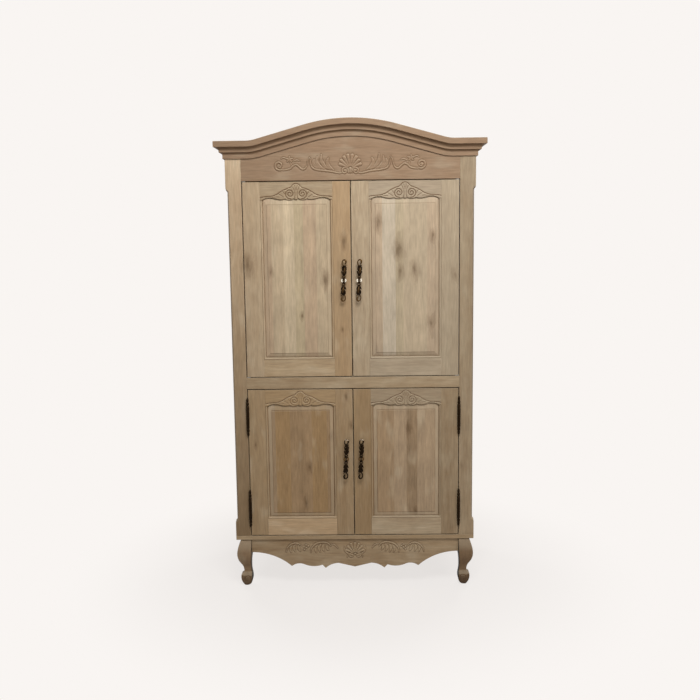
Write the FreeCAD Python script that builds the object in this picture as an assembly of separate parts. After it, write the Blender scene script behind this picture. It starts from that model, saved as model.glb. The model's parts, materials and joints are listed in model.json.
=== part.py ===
# Carved television armoire: a panelled cabinet on short cabriole legs under an arched crown, with two pocket
# doors over the television space and two hinged doors over a shelved cupboard.
# Frame: origin on the floor below the middle of the cabinet, +X right, +Y to the back, +Z up, millimetres.

import FreeCAD, Part
import math
import os

V = FreeCAD.Vector

# Driving dimensions of the cabinet
BODY_WIDTH = 1158.0        # over the front posts
BODY_DEPTH = 613.0         # front of the posts to the back
OPENING_WIDTH = 1012.0     # between the front posts
LEG_HEIGHT = 240.0         # floor to the bottom board
BOTTOM_THICKNESS = 20.0
LOWER_DOOR_HEIGHT = 720.0
MID_RAIL_HEIGHT = 55.0
UPPER_DOOR_HEIGHT = 912.5
FRIEZE_HEIGHT = 102.5      # frieze that shows below the crown at its ends
EDGE_GAP = 4.0             # above and below each door
SIDE_GAP = 3.5             # between a door and its post
CENTRE_GAP = 4.0           # between the two doors of a pair
FRAME_THICKNESS = 25.0     # posts, rails and frieze
SIDE_THICKNESS = 24.0      # panelled side frames
SIDE_INSET = 5.0           # the posts stand proud of the side frames by this much
BACK_THICKNESS = 6.0
BOARD_THICKNESS = 20.0     # deck, shelf and top

# Crown
CROWN_HEIGHT = 77.0
CROWN_OUT = 45.0
ARCH_RISE = 96.0
ARCH_SLOPE = 15.5          # degrees, steepest part of the arch
ARCH_CROWN_RADIUS = 720.0  # lower edge, convex middle
ARCH_FOOT_RADIUS = 240.0   # lower edge, hollow curve at each end

# Doors
DOOR_THICKNESS = 22.0
DOOR_FLAT = 82.0           # flat face of stiles and bottom rails
UPPER_TOP_FLAT = 84.0      # top rail at the corners of its opening
LOWER_TOP_FLAT = 81.0
STICKING = 11.0            # moulded inner edge of the door frame
STICKING_DEPTH = 6.0
GROOVE_DEPTH = 8.0
GROOVE_BACK = 16.0         # back of the panel groove, from the door's front
PANEL_TONGUE = 7.5
FIT = 0.25                 # room between a panel and its groove
PANEL_BEVEL = 19.0
FIELD_SETBACK = 1.5        # raised field, behind the door's front

# Pocket doors
PIVOT_INSET = 9.0          # pivot from the door's edge and from its front
PIN_RADIUS = 3.0
PIN_LENGTH = 14.0
RUNNING_FIT = 0.05
EDGE_ROUND = 3.0           # rounded front corner beside the pivot
POCKET_TRAVEL = 425.0
PLATE_THICKNESS = 2.0

# Barrel hinges of the lower doors
BARREL_RADIUS = 7.5
BARREL_STANDOFF = 8.0      # barrel axis in front of the posts
BARREL_LENGTH = 100.0
FINIAL_LENGTH = 44.0
HINGE_PIN_RADIUS = 3.5
LEAF_THICKNESS = 1.5
HINGE_HEIGHTS = (400.0, 853.0)

# Pulls
PULL_OFFSET = 36.0         # pull axis from the middle of the cabinet
UPPER_PULL_HEIGHT = 1502.0
LOWER_PULL_HEIGHT = 647.0
PULL_STANDOFF = 20.0       # grip axis in front of the door
PULL_POST_SPACING = 124.0
PULL_LENGTH = 200.0

# Base
APRON_THICKNESS = 22.0
APRON_SETBACK = 2.0        # apron faces behind the legs' blocks
LEG_BLOCK = 51.0           # square top of a leg
LEG_SETBACK = 22.0         # leg block inside the post's outer edge
LEG_FRONT_SETBACK = 8.0    # leg block behind the post's front

# Levels and planes worked out from the sizes above
HALF = BODY_WIDTH / 2
OPEN = OPENING_WIDTH / 2
FRONT = (CROWN_OUT - BODY_DEPTH) / 2
BACK = FRONT + BODY_DEPTH
SIDE_OUT = HALF - SIDE_INSET
SIDE_IN = SIDE_OUT - SIDE_THICKNESS
FRAME_BACK = FRONT + FRAME_THICKNESS
INNER_BACK = BACK - BACK_THICKNESS
BOTTOM_TOP = LEG_HEIGHT + BOTTOM_THICKNESS
LOWER_Z0 = BOTTOM_TOP + EDGE_GAP
LOWER_Z1 = LOWER_Z0 + LOWER_DOOR_HEIGHT
MID_Z0 = LOWER_Z1 + EDGE_GAP
MID_Z1 = MID_Z0 + MID_RAIL_HEIGHT
UPPER_Z0 = MID_Z1 + EDGE_GAP
UPPER_Z1 = UPPER_Z0 + UPPER_DOOR_HEIGHT
FRIEZE_Z0 = UPPER_Z1 + EDGE_GAP
CROWN_Z0 = FRIEZE_Z0 + FRIEZE_HEIGHT
CROWN_Z1 = CROWN_Z0 + CROWN_HEIGHT
DOOR_OUT = OPEN - SIDE_GAP
DOOR_IN = CENTRE_GAP / 2

nodes = {}


def block(x0, x1, y0, y1, z0, z1):
    """Box between two corners, given in any order."""
    low = V(min(x0, x1), min(y0, y1), min(z0, z1))
    return Part.makeBox(abs(x1 - x0), abs(y1 - y0), abs(z1 - z0), low)


def mirrored(shape):
    """The same piece on the other side of the cabinet."""
    return shape.mirror(V(0, 0, 0), V(1, 0, 0))


def line(a, b):
    return Part.LineSegment(a, b).toShape()


def arc(a, middle, b):
    return Part.Arc(a, middle, b).toShape()


def smooth(points):
    """One smooth curve through a few points."""
    curve = Part.BSplineCurve()
    curve.interpolate(points)
    return curve.toShape()


def prism(edges, along):
    """Solid swept straight from a closed outline."""
    return Part.Face(Part.Wire(Part.__sortEdges__(edges))).extrude(along)


def polygon_prism(points, along):
    return Part.Face(Part.makePolygon(points + points[:1])).extrude(along)


def rectangle(x0, x1, z0, z1, y):
    """Closed upright wire in a plane of constant y."""
    corners = [V(x0, y, z0), V(x1, y, z0), V(x1, y, z1), V(x0, y, z1)]
    return Part.makePolygon(corners + corners[:1])


def rod(radius, start, end):
    axis = end.sub(start)
    return Part.makeCylinder(radius, axis.Length, start, axis)


def fused(shapes):
    return shapes[0].multiFuse(shapes[1:]).removeSplitter()


def both_sides(left_name, shape):
    """Store a left piece and its mirror image under the matching right-hand name."""
    nodes[left_name] = shape
    nodes[left_name.replace("left", "right")] = mirrored(shape)


# Front posts, with a stopped chamfer down the outer corner
CHAMFER_FRONT = 14.0
CHAMFER_Z0 = 343.0
CHAMFER_Z1 = 1917.0
CHAMFER_STOP = 18.0


def front_post():
    post = block(-HALF, -OPEN, FRONT, FRAME_BACK, BOTTOM_TOP, CROWN_Z1)
    start = V(-HALF + CHAMFER_FRONT, FRONT, CHAMFER_Z0)
    top = V(-HALF + CHAMFER_FRONT, FRONT, CHAMFER_Z1)
    outer_top = V(-HALF - CHAMFER_STOP + CHAMFER_FRONT, FRONT, CHAMFER_Z1 + CHAMFER_STOP)
    outer_start = V(-HALF - CHAMFER_STOP + CHAMFER_FRONT, FRONT, CHAMFER_Z0 - CHAMFER_STOP)
    slant = V(SIDE_INSET - CHAMFER_FRONT, FRAME_THICKNESS, 0)
    return post.cut(polygon_prism([start, top, outer_top, outer_start], slant))


both_sides("left_front_post", front_post())

# Panelled sides
SIDE_STILE = 70.0
SIDE_BOTTOM_RAIL = (BOTTOM_TOP, 360.0)
SIDE_MID_RAIL = (965.0, 1125.0)
SIDE_TOP_RAIL = (1880.0, CROWN_Z1)
SIDE_GROOVE = (SIDE_OUT - 17.0, SIDE_OUT - 9.0)
SIDE_PANEL_BEVEL = 34.0
SHELF_PIN_RADIUS = 3.5
SHELF_PIN_DEPTH = 9.0
SHELF_PIN_SHOWS = 12.0
SHELF_Z = 625.0


def side_openings():
    y0 = FRAME_BACK + SIDE_STILE
    y1 = BACK - SIDE_STILE
    upper = (y0, y1, SIDE_MID_RAIL[1], SIDE_TOP_RAIL[0])
    lower = (y0, y1, SIDE_BOTTOM_RAIL[1], SIDE_MID_RAIL[0])
    return {"upper": upper, "lower": lower}


def shelf_pin_places():
    """Inner side face of the left frame, under the front and the back of the shelf."""
    front = V(-SIDE_IN, FRAME_BACK + SIDE_STILE / 2, SHELF_Z - SHELF_PIN_RADIUS)
    rear = V(-SIDE_IN, BACK - SIDE_STILE / 2, SHELF_Z - SHELF_PIN_RADIUS)
    return [front, rear]


def left_side_frame():
    frame = block(-SIDE_OUT, -SIDE_IN, FRAME_BACK, BACK, BOTTOM_TOP, CROWN_Z1)
    cuts = []
    for y0, y1, z0, z1 in side_openings().values():
        cuts.append(block(-SIDE_OUT, -SIDE_IN, y0, y1, z0, z1))
        d = GROOVE_DEPTH + FIT
        cuts.append(block(-SIDE_GROOVE[1], -SIDE_GROOVE[0], y0 - d, y1 + d, z0 - d, z1 + d))
    for place in shelf_pin_places():
        cuts.append(rod(SHELF_PIN_RADIUS, place, place + V(-SHELF_PIN_DEPTH, 0, 0)))
    return frame.cut(cuts)


def left_side_panel(y0, y1, z0, z1):
    inner, outer = SIDE_GROOVE[0] + FIT, SIDE_GROOVE[1] - FIT
    d = GROOVE_DEPTH
    sheet = block(-outer, -inner, y0 - d, y1 + d, z0 - d, z1 + d)
    wires = []
    for x, inset in ((outer, 0.5), (SIDE_OUT - 2.0, SIDE_PANEL_BEVEL)):
        corners = [
            V(-x, y0 + inset, z0 + inset),
            V(-x, y1 - inset, z0 + inset),
            V(-x, y1 - inset, z1 - inset),
            V(-x, y0 + inset, z1 - inset),
        ]
        wires.append(Part.makePolygon(corners + corners[:1]))
    return fused([sheet, Part.makeLoft(wires, True, True)])


both_sides("left_side_frame", left_side_frame())
for tier, opening in side_openings().items():
    both_sides("left_" + tier + "_side_panel", left_side_panel(*opening))

# Arched frieze and crown, both drawn from one line of straights and arcs
ARCH_TURN = math.radians(ARCH_SLOPE)
ARCH_RAMP_RISE = ARCH_RISE - (ARCH_CROWN_RADIUS + ARCH_FOOT_RADIUS) * (1 - math.cos(ARCH_TURN))
ARCH_RAMP_RUN = ARCH_RAMP_RISE / math.tan(ARCH_TURN)
ARCH_HALF_RUN = (ARCH_CROWN_RADIUS + ARCH_FOOT_RADIUS) * math.sin(ARCH_TURN) + ARCH_RAMP_RUN


def arch_edges(height, half_width, y):
    """Edges of the arched line, a given height above the crown's lower edge, from left to right."""
    foot_centre = V(-ARCH_HALF_RUN, y, CROWN_Z0 + ARCH_FOOT_RADIUS)
    crown_centre = V(0, y, CROWN_Z0 + ARCH_RISE - ARCH_CROWN_RADIUS)
    foot = ARCH_FOOT_RADIUS - height
    crown = ARCH_CROWN_RADIUS + height

    def on_foot(turn):
        return foot_centre + V(foot * math.sin(turn), 0, -foot * math.cos(turn))

    def on_crown(turn):
        return crown_centre + V(crown * math.sin(turn), 0, crown * math.cos(turn))

    def flipped(point):
        return V(-point.x, point.y, point.z)

    end = V(-half_width, y, CROWN_Z0 + height)
    left = [
        line(end, on_foot(0)),
        arc(on_foot(0), on_foot(ARCH_TURN / 2), on_foot(ARCH_TURN)),
        line(on_foot(ARCH_TURN), on_crown(-ARCH_TURN)),
    ]
    middle = arc(on_crown(-ARCH_TURN), on_crown(0), on_crown(ARCH_TURN))
    right = [
        line(on_crown(ARCH_TURN), flipped(on_foot(ARCH_TURN))),
        arc(flipped(on_foot(ARCH_TURN)), flipped(on_foot(ARCH_TURN / 2)), flipped(on_foot(0))),
        line(flipped(on_foot(0)), flipped(end)),
    ]
    return left + [middle] + right


def frieze_board():
    edges = arch_edges(CROWN_HEIGHT, OPEN, FRONT)
    foot_left, foot_right = V(-OPEN, FRONT, FRIEZE_Z0), V(OPEN, FRONT, FRIEZE_Z0)
    edges += [
        line(V(-OPEN, FRONT, CROWN_Z1), foot_left),
        line(foot_left, foot_right),
        line(foot_right, V(OPEN, FRONT, CROWN_Z1)),
    ]
    return prism(edges, V(0, FRAME_THICKNESS, 0))


def crown_profile(place):
    """Closed moulding section: a flat band, a cove, a fillet, a larger cove and the fascia.
    place(out, up) sets a point by its reach from the cabinet and its height."""
    out, top = CROWN_OUT, CROWN_HEIGHT
    return Part.Wire([
        line(place(0, 0), place(8, 0)),
        line(place(8, 0), place(8, 16)),
        arc(place(8, 16), place(11.5, 24.5), place(20, 28)),
        line(place(20, 28), place(22.5, 28)),
        line(place(22.5, 28), place(22.5, 38)),
        arc(place(22.5, 38), place(28, 47), place(40, 51)),
        line(place(40, 51), place(out, 51)),
        line(place(out, 51), place(out, top - 2)),
        line(place(out, top - 2), place(out - 2, top)),
        line(place(out - 2, top), place(0, top)),
        line(place(0, top), place(0, 0)),
    ])


def mitre_wedge():
    """Everything to the left of the 45 degree joint at the front left corner of the crown."""
    reach = 2 * BODY_DEPTH
    corner = V(-HALF, FRONT, CROWN_Z0 - 1)
    points = [corner + V(-reach, -reach, 0), corner + V(reach, reach, 0), corner + V(-reach, reach, 0)]
    return polygon_prism(points, V(0, 0, CROWN_HEIGHT + ARCH_RISE))


def crown_front():
    end = HALF + CROWN_OUT
    path = Part.Wire(arch_edges(0, end, FRONT))
    profile = crown_profile(lambda out, up: V(-end, FRONT - out, CROWN_Z0 + up))
    swept = path.makePipeShell([profile], True, False)
    return swept.cut([mitre_wedge(), mirrored(mitre_wedge())])


def crown_left():
    front_end = FRONT - CROWN_OUT
    profile = crown_profile(lambda out, up: V(-HALF - out, front_end, CROWN_Z0 + up))
    run = Part.Face(profile).extrude(V(0, BACK - front_end, 0)).common(mitre_wedge())
    packing = block(-HALF, -SIDE_OUT, FRAME_BACK, BACK, CROWN_Z0, CROWN_Z1)
    return fused([run, packing])


nodes["frieze_board"] = frieze_board()
nodes["crown_front"] = crown_front()
both_sides("crown_left", crown_left())

# Horizontal boards, rails and the back
CABLE_SLOT = (160.0, 60.0)
CABLE_X = 300.0            # beside the middle, where the gap between the doors doesn't show it
UPPER_SLOT_Z = 1145.0
LOWER_SLOT_Z = 775.0
DECK_NOTCH_DEPTH = 45.0
SHELF_CLEARANCE = 1.5
SHELF_FRONT = FRAME_BACK + 12.0
SCREW_HEAD_RADIUS = 4.0
SCREW_SHANK_RADIUS = 2.0
SCREW_LENGTH = 24.0
SCREW_COLUMNS = (-450.0, -150.0, 150.0, 450.0)


def back_screws():
    """Countersunk screws that hold the back to the bottom, the deck and the top."""
    rows = (BOTTOM_TOP - BOTTOM_THICKNESS / 2, MID_Z1 - BOARD_THICKNESS / 2, CROWN_Z1 - BOARD_THICKNESS / 2)
    head_depth = SCREW_HEAD_RADIUS - SCREW_SHANK_RADIUS
    screws = []
    for x in SCREW_COLUMNS:
        for z in rows:
            top = V(x, BACK, z)
            head = Part.makeCone(SCREW_HEAD_RADIUS, SCREW_SHANK_RADIUS, head_depth, top, V(0, -1, 0))
            screws.append(fused([head, rod(SCREW_SHANK_RADIUS, top, top + V(0, -SCREW_LENGTH, 0))]))
    return screws


def cable_slot(z):
    width, height = CABLE_SLOT
    straight = (width - height) / 2
    x0, x1 = CABLE_X - straight, CABLE_X + straight
    ends = [rod(height / 2, V(x, INNER_BACK, z), V(x, BACK, z)) for x in (x0, x1)]
    return fused([block(x0, x1, INNER_BACK, BACK, z - height / 2, z + height / 2)] + ends)


screws = back_screws()
bottom = block(-HALF, HALF, FRONT, FRAME_BACK, LEG_HEIGHT, BOTTOM_TOP)
bottom = fused([bottom, block(-SIDE_OUT, SIDE_OUT, FRAME_BACK, INNER_BACK, LEG_HEIGHT, BOTTOM_TOP)])
deck = block(-SIDE_IN, SIDE_IN, FRAME_BACK, INNER_BACK, MID_Z1 - BOARD_THICKNESS, MID_Z1)
notch_half = CABLE_SLOT[0] / 2
notch = block(CABLE_X - notch_half, CABLE_X + notch_half, INNER_BACK - DECK_NOTCH_DEPTH, INNER_BACK,
              MID_Z1 - BOARD_THICKNESS, MID_Z1)
top = block(-SIDE_IN, SIDE_IN, FRAME_BACK, INNER_BACK, CROWN_Z1 - BOARD_THICKNESS, CROWN_Z1)
back = block(-SIDE_IN, SIDE_IN, INNER_BACK, BACK, BOTTOM_TOP, CROWN_Z1)
back_foot = block(-SIDE_OUT, SIDE_OUT, INNER_BACK, BACK, LEG_HEIGHT, BOTTOM_TOP)
back = fused([back, back_foot])
nodes["bottom_board"] = bottom.cut(screws)
nodes["tv_deck"] = deck.cut(screws + [notch])
nodes["top_board"] = top.cut(screws)
nodes["back_panel"] = back.cut(screws + [cable_slot(UPPER_SLOT_Z), cable_slot(LOWER_SLOT_Z)])
nodes["back_screws"] = Part.makeCompound(screws)
nodes["mid_rail"] = block(-OPEN, OPEN, FRONT, FRAME_BACK, MID_Z0, MID_Z1)
shelf_half = SIDE_IN - SHELF_CLEARANCE
nodes["lower_shelf"] = block(-shelf_half, shelf_half, SHELF_FRONT, INNER_BACK - SHELF_CLEARANCE,
                             SHELF_Z, SHELF_Z + BOARD_THICKNESS)


def shelf_pins():
    pins = []
    for place in shelf_pin_places():
        pin = rod(SHELF_PIN_RADIUS, place + V(-SHELF_PIN_DEPTH, 0, 0), place + V(SHELF_PIN_SHOWS, 0, 0))
        pins += [pin, mirrored(pin)]
    return Part.makeCompound(pins)


nodes["shelf_pins"] = shelf_pins()

# Aprons: half of the front outline, from the leg to the middle, and a simpler side outline
APRON_END_Z = 173.0


def front_apron():
    y = LEG_FRONT_Y0 + APRON_SETBACK
    end = LEG_IN

    def p(x, z):
        return V(-x, y, z)

    half = [
        arc(p(end, APRON_END_Z), p(407, 157), p(310, 100.5)),
        arc(p(310, 100.5), p(288, 112), p(250, 110)),
        arc(p(250, 110), p(200, 99), p(160, 106)),
        line(p(160, 106), p(144, 89.5)),
        arc(p(144, 89.5), p(117, 107), p(80, 115)),
        smooth([p(80, 115), p(40, 105.5), p(0, 96)]),
    ]
    other = [mirrored(edge) for edge in half]
    sides = [
        line(p(end, APRON_END_Z), p(end, LEG_HEIGHT)),
        line(p(end, LEG_HEIGHT), p(-end, LEG_HEIGHT)),
        line(p(-end, LEG_HEIGHT), p(-end, APRON_END_Z)),
    ]
    return prism(half + other + sides, V(0, APRON_THICKNESS, 0))


LEG_OUT = HALF - LEG_SETBACK
LEG_IN = LEG_OUT - LEG_BLOCK
LEG_FRONT_Y0 = FRONT + LEG_FRONT_SETBACK
LEG_FRONT_Y1 = LEG_FRONT_Y0 + LEG_BLOCK
LEG_REAR_Y0 = INNER_BACK - LEG_BLOCK
SIDE_APRON_X = LEG_OUT - APRON_SETBACK
SIDE_APRON_LOW = 122.0


def left_apron():
    x = -SIDE_APRON_X
    y0, y1 = LEG_FRONT_Y1, LEG_REAR_Y0
    middle = (y0 + y1) / 2
    cusp = (y1 - y0) / 5

    def p(y, z):
        return V(x, y, z)

    edges = [
        arc(p(y0, APRON_END_Z), p(y0 + 0.62 * cusp, 161), p(y0 + cusp, 138)),
        arc(p(y0 + cusp, 138), p(middle, SIDE_APRON_LOW), p(y1 - cusp, 138)),
        arc(p(y1 - cusp, 138), p(y1 - 0.62 * cusp, 161), p(y1, APRON_END_Z)),
        line(p(y1, APRON_END_Z), p(y1, LEG_HEIGHT)),
        line(p(y1, LEG_HEIGHT), p(y0, LEG_HEIGHT)),
        line(p(y0, LEG_HEIGHT), p(y0, APRON_END_Z)),
    ]
    return prism(edges, V(APRON_THICKNESS, 0, 0))


def rear_rail():
    return block(-LEG_IN, LEG_IN, INNER_BACK - 2 * APRON_THICKNESS, INNER_BACK - APRON_THICKNESS,
                 APRON_END_Z - 20.0, LEG_HEIGHT)


nodes["front_apron"] = front_apron()
both_sides("left_apron", left_apron())
nodes["rear_rail"] = rear_rail()


# Cabriole legs, each sawn from a square blank by one outline on two faces
def leg_outline(place):
    """Closed outline of a leg; place(out, up) measures out from the block's inner face."""
    knee = place(LEG_BLOCK + 19, 166)
    ankle = place(LEG_BLOCK - 9, 82)
    lip = place(LEG_BLOCK + 4, 58)
    toe = place(38, 0)
    heel = place(25, 0)
    return Part.Wire([
        smooth([place(LEG_BLOCK, LEG_HEIGHT), place(LEG_BLOCK + 13, 206), knee, place(LEG_BLOCK + 10, 130),
                place(LEG_BLOCK - 4, 104), ankle]),
        arc(ankle, place(LEG_BLOCK - 6, 64.5), lip),
        arc(lip, place(LEG_BLOCK, 23), toe),
        line(toe, heel),
        smooth([heel, place(10, 9), place(0, 38), place(4, 76), place(5, 110), place(0, 160)]),
        line(place(0, 160), place(0, LEG_HEIGHT)),
        line(place(0, LEG_HEIGHT), place(LEG_BLOCK, LEG_HEIGHT)),
    ])


def front_left_leg():
    reach = 2 * LEG_BLOCK
    from_front = leg_outline(lambda out, up: V(-LEG_IN - out, LEG_FRONT_Y0 - reach, up))
    from_side = leg_outline(lambda out, up: V(-LEG_OUT - reach, LEG_FRONT_Y1 - out, up))
    across = Part.Face(from_front).extrude(V(0, 3 * reach, 0))
    along = Part.Face(from_side).extrude(V(3 * reach, 0, 0))
    return across.common(along)


def rear_left_leg():
    """The back leg bends outwards only, so that the cabinet can stand against a wall."""
    from_front = leg_outline(lambda out, up: V(-LEG_IN - out, LEG_REAR_Y0, up))
    return Part.Face(from_front).extrude(V(0, LEG_BLOCK, 0))


both_sides("front_left_leg", front_left_leg())
both_sides("rear_left_leg", rear_left_leg())


# Doors, each with two stiles, two rails and a raised panel. All are drawn for the left of the cabinet.
TOP_EDGE_RISE = 13.0       # the top rail's lower edge rises this far beside the corners


def top_rail(x0, x1, z_corner, z1):
    """Rail with a serpentine lower edge under the carved crest."""
    middle = (x0 + x1) / 2
    reach = middle - x0

    def p(u, rise):
        return V(x0 + u, FRONT, z_corner + rise)

    half = [
        arc(p(0, 0), p(9, 9), p(28, TOP_EDGE_RISE)),
        arc(p(28, TOP_EDGE_RISE), p(58, 11.5), p(86, 5)),
        arc(p(86, 5), p(125, 1), p(reach, 0)),
    ]
    across = FreeCAD.Matrix()
    across.move(V(-middle, 0, 0))
    across.scale(-1, 1, 1)
    across.move(V(middle, 0, 0))
    other = [edge.transformGeometry(across) for edge in half]
    sides = [
        line(p(0, 0), V(x0, FRONT, z1)),
        line(V(x0, FRONT, z1), V(x1, FRONT, z1)),
        line(V(x1, FRONT, z1), p(2 * reach, 0)),
    ]
    return prism(half + other + sides, V(0, DOOR_THICKNESS, 0))


def left_door(z0, z1, top_flat):
    """The five pieces of a left door, by name."""
    x0, x1 = -DOOR_OUT, -DOOR_IN
    flat0, flat1 = x0 + DOOR_FLAT, x1 - DOOR_FLAT
    sight0, sight1 = flat0 + STICKING, flat1 - STICKING
    z_flat = z0 + DOOR_FLAT
    z_sight = z_flat + STICKING
    z_corner = z1 - top_flat
    back = FRONT + DOOR_THICKNESS

    top = top_rail(flat0, flat1, z_corner, z1)
    top_reach = z_corner + TOP_EDGE_RISE + GROOVE_DEPTH
    groove = block(sight0 - GROOVE_DEPTH - FIT, sight1 + GROOVE_DEPTH + FIT, FRONT + GROOVE_BACK - 8.0,
                   FRONT + GROOVE_BACK, z_sight - GROOVE_DEPTH - FIT, top_reach + FIT)
    sticking_top = z_corner + TOP_EDGE_RISE
    funnel = Part.makeLoft([
        rectangle(sight0, sight1, z_sight, sticking_top, FRONT + STICKING_DEPTH),
        rectangle(flat0, flat1, z_flat, sticking_top + STICKING, FRONT),
    ], True, True)

    hinge_stile = fused([
        block(x0, flat0, FRONT, back, z0, z1),
        block(flat0, sight0, FRONT, back, z_sight, sticking_top),
    ]).cut([top, groove, funnel])
    lock_stile = fused([
        block(flat1, x1, FRONT, back, z0, z1),
        block(sight1, flat1, FRONT, back, z_sight, sticking_top),
    ]).cut([top, groove, funnel])
    bottom_rail = block(flat0, flat1, FRONT, back, z0, z_sight).cut([groove, funnel])

    tongue_front = FRONT + GROOVE_BACK - FIT - PANEL_TONGUE
    sheet = block(sight0 - GROOVE_DEPTH, sight1 + GROOVE_DEPTH, tongue_front, FRONT + GROOVE_BACK - FIT,
                  z_sight - GROOVE_DEPTH, top_reach)
    gap = 2 * FIT
    field = Part.makeLoft([
        rectangle(sight0 + gap, sight1 - gap, z_sight + gap, z_corner - gap, tongue_front),
        rectangle(sight0 + PANEL_BEVEL, sight1 - PANEL_BEVEL, z_sight + PANEL_BEVEL,
                  z_corner - PANEL_BEVEL - STICKING, FRONT + FIELD_SETBACK),
    ], True, True)
    return {
        "hinge_stile": hinge_stile,
        "lock_stile": lock_stile,
        "top_rail": top.cut(groove),
        "bottom_rail": bottom_rail,
        "panel": fused([sheet, field]),
    }


PIVOT = V(-DOOR_OUT + PIVOT_INSET, FRONT + PIVOT_INSET, 0)


def pocket_stile(stile):
    """Hinge stile of a pocket door: bored for its pivot pins, with the front corner rounded to swing."""
    depth = PIN_LENGTH + 1.0
    hole = PIN_RADIUS + RUNNING_FIT
    low = V(PIVOT.x, PIVOT.y, UPPER_Z0)
    high = V(PIVOT.x, PIVOT.y, UPPER_Z1)
    holes = [rod(hole, low, low + V(0, 0, depth)), rod(hole, high + V(0, 0, -depth), high)]
    corner = V(-DOOR_OUT, FRONT, UPPER_Z0)
    square = block(corner.x, corner.x + EDGE_ROUND, FRONT, FRONT + EDGE_ROUND, UPPER_Z0, UPPER_Z1)
    centre = corner + V(EDGE_ROUND, EDGE_ROUND, 0)
    waste = square.cut(rod(EDGE_ROUND, centre, centre + V(0, 0, UPPER_DOOR_HEIGHT)))
    return stile.cut(holes + [waste])


upper_door = left_door(UPPER_Z0, UPPER_Z1, UPPER_TOP_FLAT)
upper_door["hinge_stile"] = pocket_stile(upper_door["hinge_stile"])
lower_door = left_door(LOWER_Z0, LOWER_Z1, LOWER_TOP_FLAT)
for piece, shape in upper_door.items():
    both_sides("upper_left_" + piece, shape)
for piece, shape in lower_door.items():
    both_sides("lower_left_" + piece, shape)

# Pocket slides: two channels on each side, and a carriage that carries the door on two pins
CHANNEL_DEPTH = 12.0
CHANNEL_HALF = 18.0
CHANNEL_WALL = 2.0
CHANNEL_Y0 = FRAME_BACK + 2.0
CHANNEL_Y1 = BACK - 28.0
CHANNEL_HEIGHTS = (UPPER_Z0 + 54.0, UPPER_Z1 - 54.0)
RUNNER_LENGTH = 120.0
RUNNER_ROOM = 0.5
CARRIAGE_Y0 = FRONT + 28.0
CARRIAGE_Y1 = CARRIAGE_Y0 + 12.0
CARRIAGE_X0 = SIDE_IN - CHANNEL_DEPTH - 1.0
CARRIAGE_X1 = DOOR_OUT - 16.0


def pocket_channels():
    channels = []
    for z in CHANNEL_HEIGHTS:
        outer = block(-SIDE_IN, -SIDE_IN + CHANNEL_DEPTH, CHANNEL_Y0, CHANNEL_Y1,
                      z - CHANNEL_HALF, z + CHANNEL_HALF)
        inner_half = CHANNEL_HALF - CHANNEL_WALL
        hollow = block(-SIDE_IN + CHANNEL_WALL, -SIDE_IN + CHANNEL_DEPTH, CHANNEL_Y0, CHANNEL_Y1,
                       z - inner_half, z + inner_half)
        channel = outer.cut(hollow)
        channels += [channel, mirrored(channel)]
    return Part.makeCompound(channels)


def left_carriage():
    plate_low = (UPPER_Z0 - 3.0, UPPER_Z0 - 3.0 + PLATE_THICKNESS)
    plate_high = (UPPER_Z1 + 3.0 - PLATE_THICKNESS, UPPER_Z1 + 3.0)
    pieces = [block(-CARRIAGE_X0, -CARRIAGE_X1, CARRIAGE_Y0, CARRIAGE_Y1, plate_low[0], plate_high[1])]
    for z0, z1 in (plate_low, plate_high):
        pieces.append(block(-DOOR_OUT, -CARRIAGE_X1, FRONT + 2.0, CARRIAGE_Y1, z0, z1))
    runner_half = CHANNEL_HALF - CHANNEL_WALL - RUNNER_ROOM
    for z in CHANNEL_HEIGHTS:
        pieces.append(block(-SIDE_IN + CHANNEL_WALL + RUNNER_ROOM, -CARRIAGE_X0, CARRIAGE_Y0,
                            CARRIAGE_Y0 + RUNNER_LENGTH, z - runner_half, z + runner_half))
    low = V(PIVOT.x, PIVOT.y, plate_low[0])
    high = V(PIVOT.x, PIVOT.y, plate_high[1])
    pieces.append(rod(PIN_RADIUS, low, V(PIVOT.x, PIVOT.y, UPPER_Z0 + PIN_LENGTH)))
    pieces.append(rod(PIN_RADIUS, V(PIVOT.x, PIVOT.y, UPPER_Z1 - PIN_LENGTH), high))
    return fused(pieces)


nodes["pocket_channels"] = pocket_channels()
both_sides("upper_left_carriage", left_carriage())

# Barrel hinges: the lower half with its pin is on the post, the upper half lifts off with the door
HINGE_X = -(OPEN - SIDE_GAP / 2)
HINGE_Y = FRONT - BARREL_STANDOFF
KNUCKLE_ROOM = 0.3
LEAF_DEPTH = 20.0


def finial(z, up):
    """Turned knob on the end of a barrel: collar, neck, ball and a blunt button."""
    def p(radius, height):
        return V(HINGE_X + radius, HINGE_Y, z + up * height)

    edges = [
        line(p(0, 0), p(BARREL_RADIUS, 0)),
        line(p(BARREL_RADIUS, 0), p(BARREL_RADIUS, 3)),
        line(p(BARREL_RADIUS, 3), p(4.6, 7)),
        arc(p(4.6, 7), p(7.2, 15), p(4.6, 23)),
        line(p(4.6, 23), p(4.6, 25)),
        arc(p(4.6, 25), p(6.2, 32), p(4.2, 39)),
        arc(p(4.2, 39), p(3.2, 42.5), p(1.0, FINIAL_LENGTH)),
        line(p(1.0, FINIAL_LENGTH), p(0, FINIAL_LENGTH)),
        line(p(0, FINIAL_LENGTH), p(0, 0)),
    ]
    face = Part.Face(Part.Wire(edges))
    return face.revolve(V(HINGE_X, HINGE_Y, 0), V(0, 0, 1), 360)


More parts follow.
